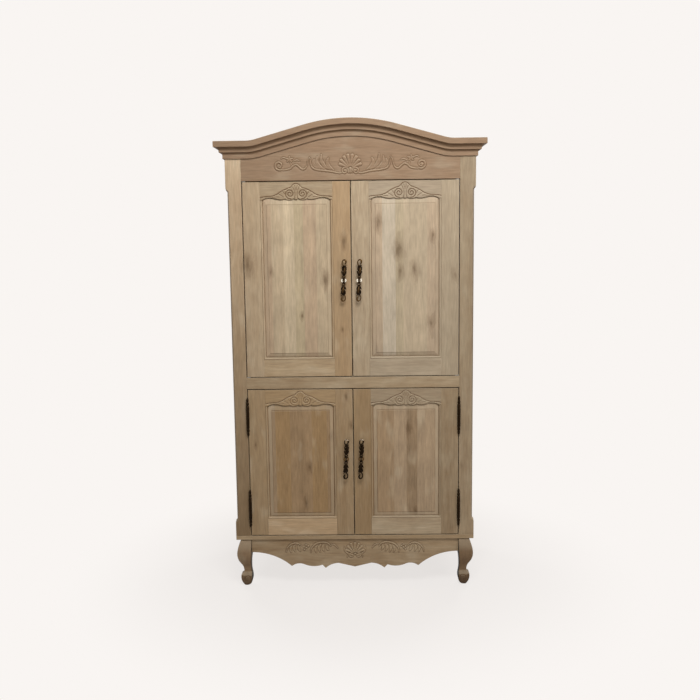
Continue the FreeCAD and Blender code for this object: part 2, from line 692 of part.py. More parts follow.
def hinge_frame_half(z):
    low = z - BARREL_LENGTH / 2
    axis_low = V(HINGE_X, HINGE_Y, low)
    knuckle = rod(BARREL_RADIUS, axis_low, V(HINGE_X, HINGE_Y, z - KNUCKLE_ROOM))
    pin = rod(HINGE_PIN_RADIUS, axis_low, V(HINGE_X, HINGE_Y, z + 0.4 * BARREL_LENGTH))
    leaf = block(-OPEN, -OPEN + LEAF_THICKNESS, HINGE_Y + 3.0, FRONT + LEAF_DEPTH, low, z - KNUCKLE_ROOM)
    return fused([knuckle, pin, leaf, finial(low, -1)])


def hinge_door_half(z):
    high = z + BARREL_LENGTH / 2
    axis_high = V(HINGE_X, HINGE_Y, high)
    knuckle = rod(BARREL_RADIUS, V(HINGE_X, HINGE_Y, z + KNUCKLE_ROOM), axis_high)
    leaf = block(-DOOR_OUT - LEAF_THICKNESS, -DOOR_OUT, HINGE_Y + 3.0, FRONT + LEAF_DEPTH,
                 z + KNUCKLE_ROOM, high)
    bore_end = V(HINGE_X, HINGE_Y, z + 0.42 * BARREL_LENGTH)
    bore = rod(HINGE_PIN_RADIUS + RUNNING_FIT, V(HINGE_X, HINGE_Y, z), bore_end)
    return fused([knuckle, leaf, finial(high, 1)]).cut(bore)


frame_halves = [hinge_frame_half(z) for z in HINGE_HEIGHTS]
nodes["hinge_frame_halves"] = Part.makeCompound(frame_halves + [mirrored(half) for half in frame_halves])
both_sides("lower_left_hinge_halves", Part.makeCompound([hinge_door_half(z) for z in HINGE_HEIGHTS]))

# Magnetic catches under the deck, one behind the meeting stile of each lower door
CATCH_WIDTH = 45.0
CATCH_DEPTH = 18.0
CATCH_DROP = 62.0
CATCH_ROOM = 1.5
catch = block(-CATCH_WIDTH - 15.0, -15.0, FRAME_BACK, FRAME_BACK + CATCH_DEPTH,
              MID_Z1 - BOARD_THICKNESS - CATCH_DROP, MID_Z1 - BOARD_THICKNESS)
nodes["magnetic_catches"] = Part.makeCompound([catch, mirrored(catch)])


# Cast pulls, one pattern used four times
def pull(x, z):
    """Turned grip on two posts, with an open ring at its middle and a curl at each end."""
    grip_y = FRONT - PULL_STANDOFF
    post = PULL_POST_SPACING / 2

    def p(radius, height):
        return V(x + radius, grip_y, z + height)

    half = [
        line(p(0, 0), p(3.2, 0)),
        arc(p(3.2, 0), p(3.6, 12), p(4.6, 20)),
        arc(p(4.6, 20), p(8.0, 36), p(4.6, 52)),
        line(p(4.6, 52), p(5.5, post + 6)),
        line(p(5.5, post + 6), p(0, post + 6)),
        line(p(0, post + 6), p(0, 0)),
    ]
    upper_grip = Part.Face(Part.Wire(half)).revolve(V(x, grip_y, 0), V(0, 0, 1), 360)
    lower_grip = upper_grip.mirror(V(x, grip_y, z), V(0, 0, 1))
    pieces = [upper_grip, lower_grip, Part.makeTorus(9.5, 2.8, V(x, grip_y, z), V(0, 1, 0))]
    curl_radius, curl_wire = 8.5, 3.6
    curl_z = PULL_LENGTH / 2 - curl_radius - curl_wire
    for up in (1, -1):
        foot = V(x, FRONT, z + up * post)
        pieces.append(rod(4.5, foot, V(x, grip_y, z + up * post)))
        pieces.append(rod(11.0, foot, foot + V(0, -3.0, 0)))
        stem = rod(3.6, V(x, grip_y, z + up * post), V(x, grip_y, z + up * (curl_z - curl_radius)))
        curl = Part.makeTorus(curl_radius, curl_wire, V(x + up * 1.5, grip_y, z + up * curl_z), V(0, 1, 0))
        pieces += [stem, curl]
    return fused(pieces)


for side, sign in (("left", -1), ("right", 1)):
    nodes["upper_" + side + "_pull"] = pull(sign * PULL_OFFSET, UPPER_PULL_HEIGHT)
    nodes["lower_" + side + "_pull"] = pull(sign * PULL_OFFSET, LOWER_PULL_HEIGHT)

os.makedirs("parts", exist_ok=True)
for name, shape in nodes.items():
    shape.exportStep("parts/" + name + ".step")
print(len(nodes), "nodes; pocket travel", POCKET_TRAVEL, "mm; pivot", PIVOT, "hinge axis", HINGE_X, HINGE_Y)
for name, shape in nodes.items():
    state = "ok" if shape.isValid() else "INVALID"
    print(name, len(shape.Solids), "solids", round(shape.Volume), "mm3", state)
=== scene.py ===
# %% [markdown]
# # A carved television armoire
# The cabinet already exists as plain solids, one for each piece of joinery, at its real size and place.
# This lesson adds what the joiner, the carver and the finisher add: softened edges, moulded door frames,
# carving, cast pulls and a washed wood finish. Each dressed piece rides on the body of the solid that it
# stands for, so the doors go on swinging and sliding.

# %% Load the solids
import json
import math
import zlib

import bmesh
import bpy
import numpy as np
from mathutils import Matrix, Vector

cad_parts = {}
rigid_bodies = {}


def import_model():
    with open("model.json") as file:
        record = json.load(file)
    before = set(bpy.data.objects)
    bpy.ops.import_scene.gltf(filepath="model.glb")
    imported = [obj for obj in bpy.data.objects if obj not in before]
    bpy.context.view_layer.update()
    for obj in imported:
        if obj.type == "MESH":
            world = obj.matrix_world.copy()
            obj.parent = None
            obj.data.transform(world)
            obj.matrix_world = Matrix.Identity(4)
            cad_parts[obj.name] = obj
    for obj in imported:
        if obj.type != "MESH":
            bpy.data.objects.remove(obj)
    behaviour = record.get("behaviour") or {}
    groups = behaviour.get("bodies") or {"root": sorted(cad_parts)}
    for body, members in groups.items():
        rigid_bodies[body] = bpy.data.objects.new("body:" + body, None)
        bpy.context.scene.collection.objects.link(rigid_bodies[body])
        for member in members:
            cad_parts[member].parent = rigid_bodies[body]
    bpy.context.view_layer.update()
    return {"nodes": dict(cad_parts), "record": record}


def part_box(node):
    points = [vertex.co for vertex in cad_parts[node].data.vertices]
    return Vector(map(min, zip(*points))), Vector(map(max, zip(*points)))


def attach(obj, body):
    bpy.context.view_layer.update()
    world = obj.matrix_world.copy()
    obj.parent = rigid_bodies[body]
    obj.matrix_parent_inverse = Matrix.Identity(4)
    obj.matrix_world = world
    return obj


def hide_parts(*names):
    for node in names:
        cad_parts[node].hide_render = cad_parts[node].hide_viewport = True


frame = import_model()
record = frame["record"]
MM = 0.001
SIDES = (("left", -1), ("right", 1))
BODY_OF = {node: body for body, nodes in record["behaviour"]["bodies"].items() for node in nodes}
SLOT_OF = {row["node"]: row["material_slot"] for row in record["subparts"]}
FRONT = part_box("left_front_post")[0].y

# %% [markdown]
# ## Writing shaders as sums
# A finish is a drawing of nodes, and drawing them by hand in code soon gets long. So one small class
# wraps a node's output and lets Python's own operators add the Math nodes, and one method adds any other
# node. An expression such as `1 - mask` then reads the same in the code as it works in the shader.

# %% Signals
class Signal:
    """One output of a node. Arithmetic on signals adds Math nodes to their sheet."""

    def __init__(self, sheet, socket):
        self.sheet = sheet
        self.socket = socket

    def output(self, name):
        """Another output of the same node."""
        return Signal(self.sheet, self.socket.node.outputs[name])

    def maths(self, operation, first, second=0.0):
        """A Math node on two values."""
        return self.sheet.add("ShaderNodeMath", {"operation": operation}, {0: first, 1: second})

    def __add__(self, other):
        return self.maths("ADD", self, other)

    def __sub__(self, other):
        return self.maths("SUBTRACT", self, other)

    def __rsub__(self, other):
        return self.maths("SUBTRACT", other, self)

    def __mul__(self, other):
        return self.maths("MULTIPLY", self, other)

    def __truediv__(self, other):
        return self.maths("DIVIDE", self, other)

    def __rtruediv__(self, other):
        return self.maths("DIVIDE", other, self)

    def __gt__(self, other):
        return self.maths("GREATER_THAN", self, other)

    def __lt__(self, other):
        return self.maths("LESS_THAN", self, other)

    __radd__ = __add__
    __rmul__ = __mul__


either_side = [name for name in ("add", "sub", "mul", "truediv") if hasattr(Signal, f"__r{name}__")]
print("a signal may stand on either side of", ", ".join(either_side))

# %% Node sheets
def set_stops(ramp, stops):
    """Plain bands of colour on a ramp, each from its own start."""
    ramp.interpolation = "CONSTANT"
    ramp.elements.remove(ramp.elements[1])
    for k, (start, colour) in enumerate(stops):
        stop = ramp.elements.new(start) if k else ramp.elements[0]
        stop.color = colour


class NodeSheet:
    """A node tree that is being drawn."""

    def __init__(self, tree):
        self.tree = tree
        tree.nodes.clear()

    def add(self, kind, settings=None, inputs=None, output=0):
        """Any node: its settings or a ramp's stops first, then the values or links of its sockets."""
        node = self.tree.nodes.new(kind)
        for name, value in (settings or {}).items():
            if name == "stops":
                set_stops(node.color_ramp, value)
            else:
                setattr(node, name, value)
        for key, value in (inputs or {}).items():
            if isinstance(value, Signal):
                self.tree.links.new(value.socket, node.inputs[key])
            else:
                node.inputs[key].default_value = value
        return Signal(self, node.outputs[output]) if node.outputs else None

    def place(self):
        """The point that is being coloured, in the piece's own coordinates."""
        return self.add("ShaderNodeTexCoord", output="Object")

    def axes(self, place):
        """A place or a direction taken apart, with outputs X, Y and Z."""
        return self.add("ShaderNodeSeparateXYZ", inputs={0: place})

    def point(self, x, y, z):
        """Three numbers put together to a place."""
        return self.add("ShaderNodeCombineXYZ", inputs={0: x, 1: y, 2: z})

    def length(self, place):
        """Distance of a place from the origin."""
        return self.add("ShaderNodeVectorMath", {"operation": "LENGTH"}, {0: place}, "Value")

    def noise(self, place, detail=2.0, roughness=0.5):
        """Cloudy noise between 0 and 1, about 0.5 in the middle."""
        settled = {"Vector": place, "Scale": 1.0, "Detail": detail, "Roughness": roughness}
        return self.add("ShaderNodeTexNoise", inputs=settled)

    def mix(self, factor, first, second):
        """Colour between two colours."""
        colours = {0: factor, 6: first, 7: second}
        return self.add("ShaderNodeMix", {"data_type": "RGBA"}, colours, 2)

    def coats(self, colour, *laid):
        """A colour with others laid over it one after the other, each with its share."""
        for share, paint in laid:
            colour = self.mix(share, colour, paint)
        return colour

    def scaled(self, value, share):
        """A colour or a place times a number."""
        return self.add("ShaderNodeVectorMath", {"operation": "SCALE"}, {0: value, "Scale": share})

    def soft_step(self, value, low, high):
        """0 below low, 1 above high, smooth between them; low may be the larger one."""
        ends = {"Value": value, "From Min": low, "From Max": high}
        return self.add("ShaderNodeMapRange", {"interpolation_type": "SMOOTHSTEP"}, ends)

    def bands(self, place, widths, colours):
        """Plain colours side by side, place running from 0 to 1 over them; Alpha numbers the bands."""
        stops = []
        for k, colour in enumerate(colours):
            stops.append((sum(widths[:k]) / sum(widths), colour[:3] + (k / len(colours),)))
        return self.add("ShaderNodeValToRGB", {"stops": stops}, {0: place})

    def attribute(self, name):
        """A number that the mesh carries at its corners."""
        return self.add("ShaderNodeAttribute", {"attribute_name": name}, output="Fac")

    def bump(self, height):
        """Normal from a height in metres."""
        return self.add("ShaderNodeBump", inputs={"Height": height, "Distance": 1.0, "Strength": 1.0})

    def surface(self, **sockets):
        """Principled surface to the material's output; socket names are given with underscores."""
        named = {name.replace("_", " "): value for name, value in sockets.items()}
        shader = self.add("ShaderNodeBsdfPrincipled", inputs=named)
        self.add("ShaderNodeOutputMaterial", inputs={"Surface": shader})


trial = NodeSheet(bpy.data.node_groups.new("trial", "ShaderNodeTree"))
mask = trial.noise(trial.place())
print("1 - mask adds a Math node that is set to", (1 - mask).socket.node.operation)
bpy.data.node_groups.remove(trial.tree)

# %% New materials and colours
def new_material(name):
    """An empty material and the sheet to draw it on."""
    material = bpy.data.materials.new(name)
    material.use_nodes = True
    return material, NodeSheet(material.node_tree)


def srgb(red, green, blue):
    """Linear colour from values of 0 to 255, as a paint chart gives them."""
    def linear(value):
        value = value / 255
        return value / 12.92 if value <= 0.04045 else ((value + 0.055) / 1.055) ** 2.4
    return (linear(red), linear(green), linear(blue), 1.0)


print("a mid grey chip is", [round(v, 3) for v in srgb(128, 128, 128)])

# %% [markdown]
# ## Camera and studio
# The picture to match looks straight at the doors, from a little above the middle and with a very slight
# tilt. The stage is a plain pale floor that fades into a backdrop of the same colour. Only what the
# camera and the reflections see of the backdrop is that pale: the light on the wood comes from soft
# lamps, two in front and two behind, and a dim sky.

# %% Camera
CAMERA_PLACE = Vector((0.0497, -4.284, 1.711))
CAMERA_LENS = 43.82
YAW = math.radians(-0.8745)
PITCH = math.radians(-7.6727)
ROLL = math.radians(-0.7250)


def new_object(name, data):
    """An object at the origin, linked to the scene."""
    made = bpy.data.objects.new(name, data)
    bpy.context.scene.collection.objects.link(made)
    return made


forward = Vector((math.sin(YAW) * math.cos(PITCH), math.cos(YAW) * math.cos(PITCH), math.sin(PITCH)))
level = Vector((math.cos(YAW), -math.sin(YAW), 0))
above = level.cross(forward)
right = math.cos(ROLL) * level + math.sin(ROLL) * above
up = math.cos(ROLL) * above - math.sin(ROLL) * level
camera = new_object("camera", bpy.data.cameras.new("camera"))
camera.data.lens = CAMERA_LENS
camera.matrix_world = Matrix.Translation(CAMERA_PLACE) @ Matrix((right, up, -forward)).transposed().to_4x4()
bpy.context.scene.camera = camera
bpy.context.scene.view_settings.view_transform = "Standard"
print("camera", [round(v, 3) for v in CAMERA_PLACE], "lens", CAMERA_LENS)

# %% Lamps
LAMPS = {
    "key_lamp": {"place": (0.30, -2.2, 3.1), "aim": (0.0, -0.28, 1.3), "size": 1.1, "watts": 59.0},
    "fill_lamp": {"place": (2.2, -2.4, 1.9), "aim": (0.0, -0.28, 1.4), "size": 1.2, "watts": 11.0},
    "back_left_lamp": {"place": (-2.0, 2.6, 2.8), "aim": (0.0, 0.2, 1.2), "size": 1.3, "watts": 45.0},
    "back_right_lamp": {"place": (2.0, 2.6, 2.8), "aim": (0.0, 0.2, 1.2), "size": 1.3, "watts": 45.0},
}
for name, lamp in LAMPS.items():
    light = bpy.data.lights.new(name, "AREA")
    light.energy = lamp["watts"]
    light.size = lamp["size"]
    holder = new_object(name, light)
    holder.location = lamp["place"]
    holder.rotation_euler = (Vector(lamp["aim"]) - Vector(lamp["place"])).to_track_quat("-Z", "Y").to_euler()
print("lamps:", ", ".join(LAMPS))

# %% Sky
BACKDROP = srgb(249, 245, 242)
SKY_COLOUR = (1.0, 0.97, 0.94, 1.0)
SKY_STRENGTH = 0.13


def backdrop_rays(sheet):
    """1 for the rays that are to see the pale backdrop, 0 for the rays that light the object."""
    path = sheet.add("ShaderNodeLightPath", output="Is Camera Ray")
    seen = path + path.output("Is Glossy Ray") + path.output("Is Transmission Ray")
    return seen > 0.5


world = bpy.data.worlds.new("studio")
world.use_nodes = True
bpy.context.scene.world = world
sky = NodeSheet(world.node_tree)
dim = sky.add("ShaderNodeBackground", inputs={"Color": SKY_COLOUR, "Strength": SKY_STRENGTH})
pale = sky.add("ShaderNodeBackground", inputs={"Color": BACKDROP, "Strength": 1.0})
seen = sky.add("ShaderNodeMixShader", inputs={0: backdrop_rays(sky), 1: dim, 2: pale})
sky.add("ShaderNodeOutputWorld", inputs={"Surface": seen})
print("sky strength", SKY_STRENGTH, "for the light on the wood")

# %% Floor
FLOOR_HALF = 9.0
FLOOR_COLOUR = (0.80, 0.77, 0.75, 1.0)
FLOOR_MOTTLE = 3.0        # clouds per metre
FLOOR_MOTTLE_TONE = 0.98  # tone of a cloud
FLOOR_LIFT = 0.80         # how far the camera sees the floor lifted towards the backdrop
FADE_START = 0.6          # metres from the middle of the cabinet
FADE_END = 1.5
floor_material, paper = new_material("floor_paper")
where = paper.place()
mottle = paper.noise(paper.scaled(where, FLOOR_MOTTLE))
clouded = tuple(FLOOR_MOTTLE_TONE * v for v in FLOOR_COLOUR[:3]) + (1.0,)
matte = paper.add("ShaderNodeBsdfDiffuse", inputs={"Color": paper.mix(mottle, FLOOR_COLOUR, clouded)})
glow = paper.add("ShaderNodeEmission", inputs={"Color": BACKDROP, "Strength": 1.0})
fade = paper.soft_step(paper.length(where), FADE_START, FADE_END) * (1 - FLOOR_LIFT) + FLOOR_LIFT
shown = paper.add("ShaderNodeMixShader", inputs={0: fade * backdrop_rays(paper), 1: matte, 2: glow})
paper.add("ShaderNodeOutputMaterial", inputs={"Surface": shown})
floor_mesh = bpy.data.meshes.new("floor")
corners = [(x * FLOOR_HALF, y * FLOOR_HALF, 0.0) for x, y in ((-1, -1), (1, -1), (1, 1), (-1, 1))]
floor_mesh.from_pydata(corners, [], [(0, 1, 2, 3)])
floor_mesh.materials.append(floor_material)
floor = new_object("floor", floor_mesh)
print("a floor of", 2 * FLOOR_HALF, "m that fades from", FADE_START, "m to", FADE_END, "m")

# %% [markdown]
# ## Washed wood
# The real cabinet is of a pale knotty hardwood, glued up from narrow staves and rubbed with a thin wash
# that leaves it matt. Its boards differ in tone, its knots are soft grey brown smudges drawn out along
# the fibres, and its grain is quiet. A photo texture would stretch over the mouldings, so the wood is
# worked out in space: each material knows which axis runs along the fibres, and every board carries its
# own number, so no two boards match. The staves of the door panels and the knots of panels, stiles and
# posts are listed, because one knows the doors by them. Other staves and knots fall at random, and the
# front's rails, the carved boards and the legs have no knots. Each board also carries its own shade,
# warmth and blush. Faces that look up get a painted highlight, as of light from above, and faces that
# look down and the hollows that a mesh marks get painted shade.

# %% Colours of the wood
PALE = srgb(190, 171, 142)
ASH = srgb(186, 171, 149)
SAND = srgb(177, 157, 129)
OLIVE = srgb(175, 157, 127)
ROSE = srgb(174, 150, 123)
FAWN = srgb(165, 141, 113)
TAN = srgb(154, 128, 98)
HONEY = srgb(156, 127, 91)
UMBER = srgb(144, 120, 92)
RUSSET = srgb(164, 129, 103)
WASH = srgb(200, 183, 156)
KNOT = srgb(96, 77, 55)
# The next colour is the stain of knot halos and flecks and also the painted shade; the one after it is worn
# wood and also the painted highlight
STAIN_AND_SHADE = srgb(98, 72, 47)
WORN_AND_LIT = srgb(200, 184, 158)
print("palest stave", [round(v, 3) for v in PALE[:3]], "darkest", [round(v, 3) for v in UMBER[:3]])

# %% Knots
KNOT_ACROSS, KNOT_ALONG = 0.105, 0.19   # average distance of scattered knots, metres
KNOT_SIZES = (0.08, 0.20)               # the smallest and the largest, in those distances
KNOT_SHARE = 0.13                       # share of the places that do hold a knot
KNOT_STRETCH = 2.2                      # a listed knot's height over its width
NO_KNOT = 9.0                           # a distance, in sizes of a knot, at which none shows


def scattered_knots(sheet, across, along, share):
    """Distance to the nearest knot, in sizes of that knot, where a share of random places holds one."""
    smallest, largest = KNOT_SIZES
    place = sheet.point(across / KNOT_ACROSS, along / KNOT_ALONG, 0.0)
    spot = sheet.add("ShaderNodeTexVoronoi", {"voronoi_dimensions": "2D"},
                     {"Vector": place, "Scale": 1.0, "Randomness": 1.0}, "Distance")
    lot = sheet.add("ShaderNodeSeparateColor", inputs={0: spot.output("Color")})
    size = lot.output("Green") * (largest - smallest) + smallest
    return spot / size + (lot.output("Red") < 1 - share) * NO_KNOT


def listed_knots(sheet, place, knots):
    """The same distance for knots of the front, each with its own x, z and size."""
    nearest = NO_KNOT
    for x, z, size in knots:
        stretch = (1 / size, 0, 1 / (size * KNOT_STRETCH))
        apart = sheet.add("ShaderNodeVectorMath", {"operation": "SUBTRACT"}, {0: place, 1: (x, 0, z)})
        apart = sheet.add("ShaderNodeVectorMath", {"operation": "MULTIPLY"}, {0: apart, 1: stretch})
        apart = sheet.length(apart)
        nearest = apart.maths("MINIMUM", apart, nearest)
    return nearest


print("a scattered knot every", round(KNOT_ACROSS * KNOT_ALONG / KNOT_SHARE, 3), "square metres of board")

# %% Grain, tone and coats
# Axes along the fibres, across them and through the board
UPRIGHT, UPRIGHT_SIDE = "ZXY", "ZYX"   # posts and stiles of the front, and of the sides
LEVEL, LEVEL_SIDE = "XZY", "YZX"       # rails of the front, and of the sides
LEVEL_FLAT = "XYZ"                     # boards that lie flat

BOARD_SHIFT, SIDE_SHIFT = 37.0, 7.4     # metres along and across between the places two boards are cut from
HUE_SPREAD = 7.31                       # draws a second number, for the hue, from a board's number
STAVE_SHIFT, STAVE_UNEVEN = 50.0, 0.6   # for random staves: where a board starts, and how uneven they are
LISTED_SHIFT = 3.0                      # what listed staves add to the board's number, over the panel's width
GRAIN = {   # repeats per metre across and along the fibres, detail and roughness of each layer of noise
    "drift": (7, 1.9, 3.0, 0.5),      # slow wandering of the fibres
    "figure": (28, 1.2, 3.0, 0.5),    # broad stripes
    "blotch": (15, 9, 4.0, 0.62),     # uneven wash
    "patch": (17, 7, 2.0, 0.5),       # places where the wash stayed thick
    "ragged": (52, 16, 4.0, 0.6),     # broken outline of the knots
    "speckle": (170, 16, 2.0, 0.5),   # short streaks
    "fleck": (240, 9, 1.0, 0.5),      # dark pores
    "fibre": (620, 13, 2.0, 0.5),
}
GROWTH_ACROSS, GROWTH_ALONG = 62.0, 0.8   # growth lines per metre
GROWTH_DRIFT, GROWTH_SWERVE = 9.0, 4.5    # how far they follow the drift and swerve round a knot
KNOT_DRIFT, KNOT_RAGGED = 0.04, 4.2       # how far a knot follows the drift, and how broken its outline is
CORE, HALO = (1.3, -0.4), (3.2, 0.2)      # a knot's dark core and its halo: where they start and are full
FLECKS, PATCHES = (0.16, 0.30), (0.06, 0.26)   # the same for flecks and patches, in their noise
ROSY, OLIVE_GREEN = (0.60, 0.95), (0.34, 0.05)   # the same for the two hues
TOP_LIGHT_FACES, UNDER_SHADE_FACES = (0.03, 0.4), (-0.03, -0.5)   # where the painted highlight on faces that look up and the painted shade on faces that look down start and are full, in the height of their normal
TONE = {   # how far each layer moves the tone between the dark and the pale colour
    "board": 0.3, "stave": 0.62, "figure": 0.9, "growth": 0.5, "fibre": 0.22, "blotch": 1.15,
}
LISTED_TONE, LISTED_FLOOR = 0.5, 0.75     # share of that tone in listed staves, and their darkest light
STREAKS, STREAK_GROWTH = 0.5, 0.1         # how far short streaks and growth lines change the light
COAT = {   # largest share of each colour that is laid over the wood
    "rose": 0.5, "olive": 0.3, "wash": 0.28, "halo": 0.42, "fleck": 0.16, "core": 0.55,
    # up is a painted highlight; edge is wear on arrises and beads and a painted highlight on panel bevels;
    # the last share is painted shade in hollows, corners and gaps
    "up": 0.32, "edge": 0.25, "hollow": 0.8,
}
FIBRE_BUMP, GROWTH_BUMP, KNOT_BUMP = 0.22 * MM, 0.16 * MM, 0.2 * MM
FIBRE_ROUGH, KNOT_ROUGH = 0.22, 0.08
WAX_GLOSS = 0.12
print(len(GRAIN) + 1, "layers of noise in a board")

# %% The wood shader
def wood_finish(name, grain, stave_width=0.0, staves=(), start=0.0, knots=KNOT_SHARE, roughness=0.6,
                under=0.4):
    """Washed wood. Grain names the axes along the fibres, across them and through the board. Staves are
    random ones of a width, or listed from a start. Knots are a share of random places, or listed. Under is
    the share of painted shade on faces that look down."""
    material, sheet = new_material(name)
    place = sheet.place()
    axes = sheet.axes(place)
    along, across, through = (axes.output(letter) for letter in grain)
    board = sheet.attribute("board")
    tone = (board - 0.5) * TONE["board"]
    hue = board.maths("FRACT", board * HUE_SPREAD)
    if stave_width:
        lines = {"W": across / stave_width + board * STAVE_SHIFT, "Scale": 1.0, "Randomness": STAVE_UNEVEN}
        stave = sheet.add("ShaderNodeTexVoronoi", {"voronoi_dimensions": "1D"}, lines, "Color")
        stave = sheet.add("ShaderNodeSeparateColor", inputs={0: stave})
        tone = tone + (stave.output("Green") - 0.5) * TONE["stave"]
        hue = stave.output("Blue")
        board = board + stave.output("Green")
    if staves:
        widths, colours = zip(*staves)
        listed = sheet.bands((across - start) / (sum(widths) * MM), widths, colours)
        board = board + listed.output("Alpha") * LISTED_SHIFT
    shifted = across + board * SIDE_SHIFT
    along = along + board * BOARD_SHIFT

    def layer(label, bend=None):
        """One layer of the grain, around 0, with its fibres bent along by some number."""
        fine, long, detail, rough = GRAIN[label]
        run = along * long if bend is None else along * long + bend
        spot = sheet.point(shifted * fine, run, through * fine)
        return sheet.noise(spot, detail, rough) - 0.5

    drift = layer("drift")
    fibre = layer("fibre")
    flecks = sheet.soft_step(layer("fleck"), *FLECKS)
    patches = sheet.soft_step(layer("patch"), *PATCHES)
    if isinstance(knots, float):
        reach = scattered_knots(sheet, shifted + drift * KNOT_DRIFT, along, knots)
    else:
        reach = listed_knots(sheet, place, knots)
    reach = reach + layer("ragged") * KNOT_RAGGED
    core = sheet.soft_step(reach, *CORE)
    halo = sheet.soft_step(reach, *HALO)
    rings = shifted * GROWTH_ACROSS + drift * GROWTH_DRIFT + halo * GROWTH_SWERVE
    growth = sheet.noise(sheet.point(rings, along * GROWTH_ALONG, 0.0)) - 0.5

    changes = {"figure": layer("figure", drift), "growth": growth, "fibre": fibre, "blotch": layer("blotch")}
    for label, change in changes.items():
        tone = tone + change * TONE[label]
    tone = tone + 0.5
    if staves:
        colour = sheet.scaled(listed, tone * LISTED_TONE + LISTED_FLOOR)
    else:
        colour = sheet.coats(sheet.mix(tone, TAN, PALE),
                             (sheet.soft_step(hue, *ROSY) * COAT["rose"], ROSE),
                             (sheet.soft_step(hue, *OLIVE_GREEN) * COAT["olive"], OLIVE))
    warmth = sheet.attribute("warmth")
    colour = sheet.coats(colour, (warmth, HONEY), (warmth * -1, ASH), (sheet.attribute("blush"), RUSSET),
                         (patches * COAT["wash"], WASH))
    light = (sheet.attribute("shade") + 1) * (layer("speckle") * STREAKS + growth * STREAK_GROWTH + 1)
    upward = sheet.axes(place.output("Normal")).output("Z")
    # Knot halos and flecks, then a painted highlight on faces that look up, painted shade on faces that look
    # down, wear and painted highlight on marked edges, and painted shade in marked hollows
    colour = sheet.coats(sheet.scaled(colour, light),
                         (halo * COAT["halo"] + flecks * COAT["fleck"], STAIN_AND_SHADE),
                         (core * COAT["core"], KNOT),
                         (sheet.soft_step(upward, *TOP_LIGHT_FACES) * COAT["up"], WORN_AND_LIT),
                         (sheet.soft_step(upward, *UNDER_SHADE_FACES) * under, STAIN_AND_SHADE),
                         (sheet.attribute("edge") * COAT["edge"], WORN_AND_LIT),
                         (sheet.attribute("hollow") * COAT["hollow"], STAIN_AND_SHADE))
    bump = sheet.bump(fibre * FIBRE_BUMP + growth * GROWTH_BUMP - core * KNOT_BUMP)
    rough = fibre * FIBRE_ROUGH + core * KNOT_ROUGH + roughness
    sheet.surface(Base_Color=colour, Roughness=rough, Normal=bump, Specular_IOR_Level=WAX_GLOSS)
    return material


SIDE_STAVE, FRIEZE_STAVE, CASE_STAVE = 0.062, 0.085, 0.09   # average width of random staves, metres
washed_side_panel = wood_finish("washed_wood_side_panel", UPRIGHT_SIDE, SIDE_STAVE)
print("the finish of the side panels has", len(washed_side_panel.node_tree.nodes), "nodes")

# %% Wood of each kind of board
FRONT_KNOTS = (   # x, z and size in metres of the knots in posts and stiles
    (-0.487, 1.574, 0.013), (-0.031, 1.685, 0.009), (0.484, 1.521, 0.008), (-0.032, 0.949, 0.0045),
    (-0.010, 0.809, 0.006), (-0.472, 0.715, 0.005), (0.520, 0.603, 0.0045), (-0.045, 1.27, 0.004))
DOOR_STAVES = {   # width in millimetres and colour of each stave of a door panel, from left to right
    "upper_left_panel": ((44, ROSE), (56, SAND), (52, PALE), (42, OLIVE), (61, ROSE), (75, SAND)),
    "upper_right_panel": ((58, ROSE), (61, ASH), (38, OLIVE), (24, SAND), (85, SAND), (64, ROSE)),
    "lower_left_panel": ((42, FAWN), (71, HONEY), (71, TAN), (33, TAN), (73, HONEY), (40, TAN)),
    "lower_right_panel": ((30, TAN), (76, TAN), (61, FAWN), (51, UMBER), (38, FAWN), (74, FAWN)),
}
DOOR_KNOTS = {   # x, z and size in metres
    "upper_left_panel": ((-0.120, 1.504, 0.010), (-0.379, 1.542, 0.006), (-0.235, 1.335, 0.005)),
    "upper_right_panel": ((0.131, 1.770, 0.010), (0.218, 1.644, 0.015), (0.227, 1.542, 0.010),
                          (0.297, 1.546, 0.011), (0.372, 1.296, 0.011), (0.381, 1.707, 0.007)),
    "lower_left_panel": ((-0.215, 0.601, 0.008), (-0.106, 0.753, 0.006), (-0.235, 0.424, 0.008)),
    "lower_right_panel": ((0.263, 0.790, 0.009), (0.298, 0.376, 0.006)),
}
washed = {
    UPRIGHT: wood_finish("washed_wood_upright", UPRIGHT, knots=FRONT_KNOTS),
    LEVEL: wood_finish("washed_wood_level", LEVEL, knots=()),
    UPRIGHT_SIDE: wood_finish("washed_wood_upright_side", UPRIGHT_SIDE),
    LEVEL_SIDE: wood_finish("washed_wood_level_side", LEVEL_SIDE),
}
washed_frieze = wood_finish("washed_wood_frieze", LEVEL, FRIEZE_STAVE, knots=())
# the legs get little painted shade on faces that look down
washed_leg = wood_finish("washed_wood_leg", UPRIGHT, knots=(), under=0.1)
washed_panel = {}
for node, staves in DOOR_STAVES.items():
    washed_panel[node] = wood_finish("washed_wood_" + node, UPRIGHT, staves=staves, start=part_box(node)[0].x,
                                     knots=DOOR_KNOTS[node])
case_wood = wood_finish("case_wood_boards", LEVEL_FLAT, CASE_STAVE, knots=0.2, roughness=0.7)
print([m.name for m in bpy.data.materials if m.name.startswith(("washed_wood_", "case_wood_"))])
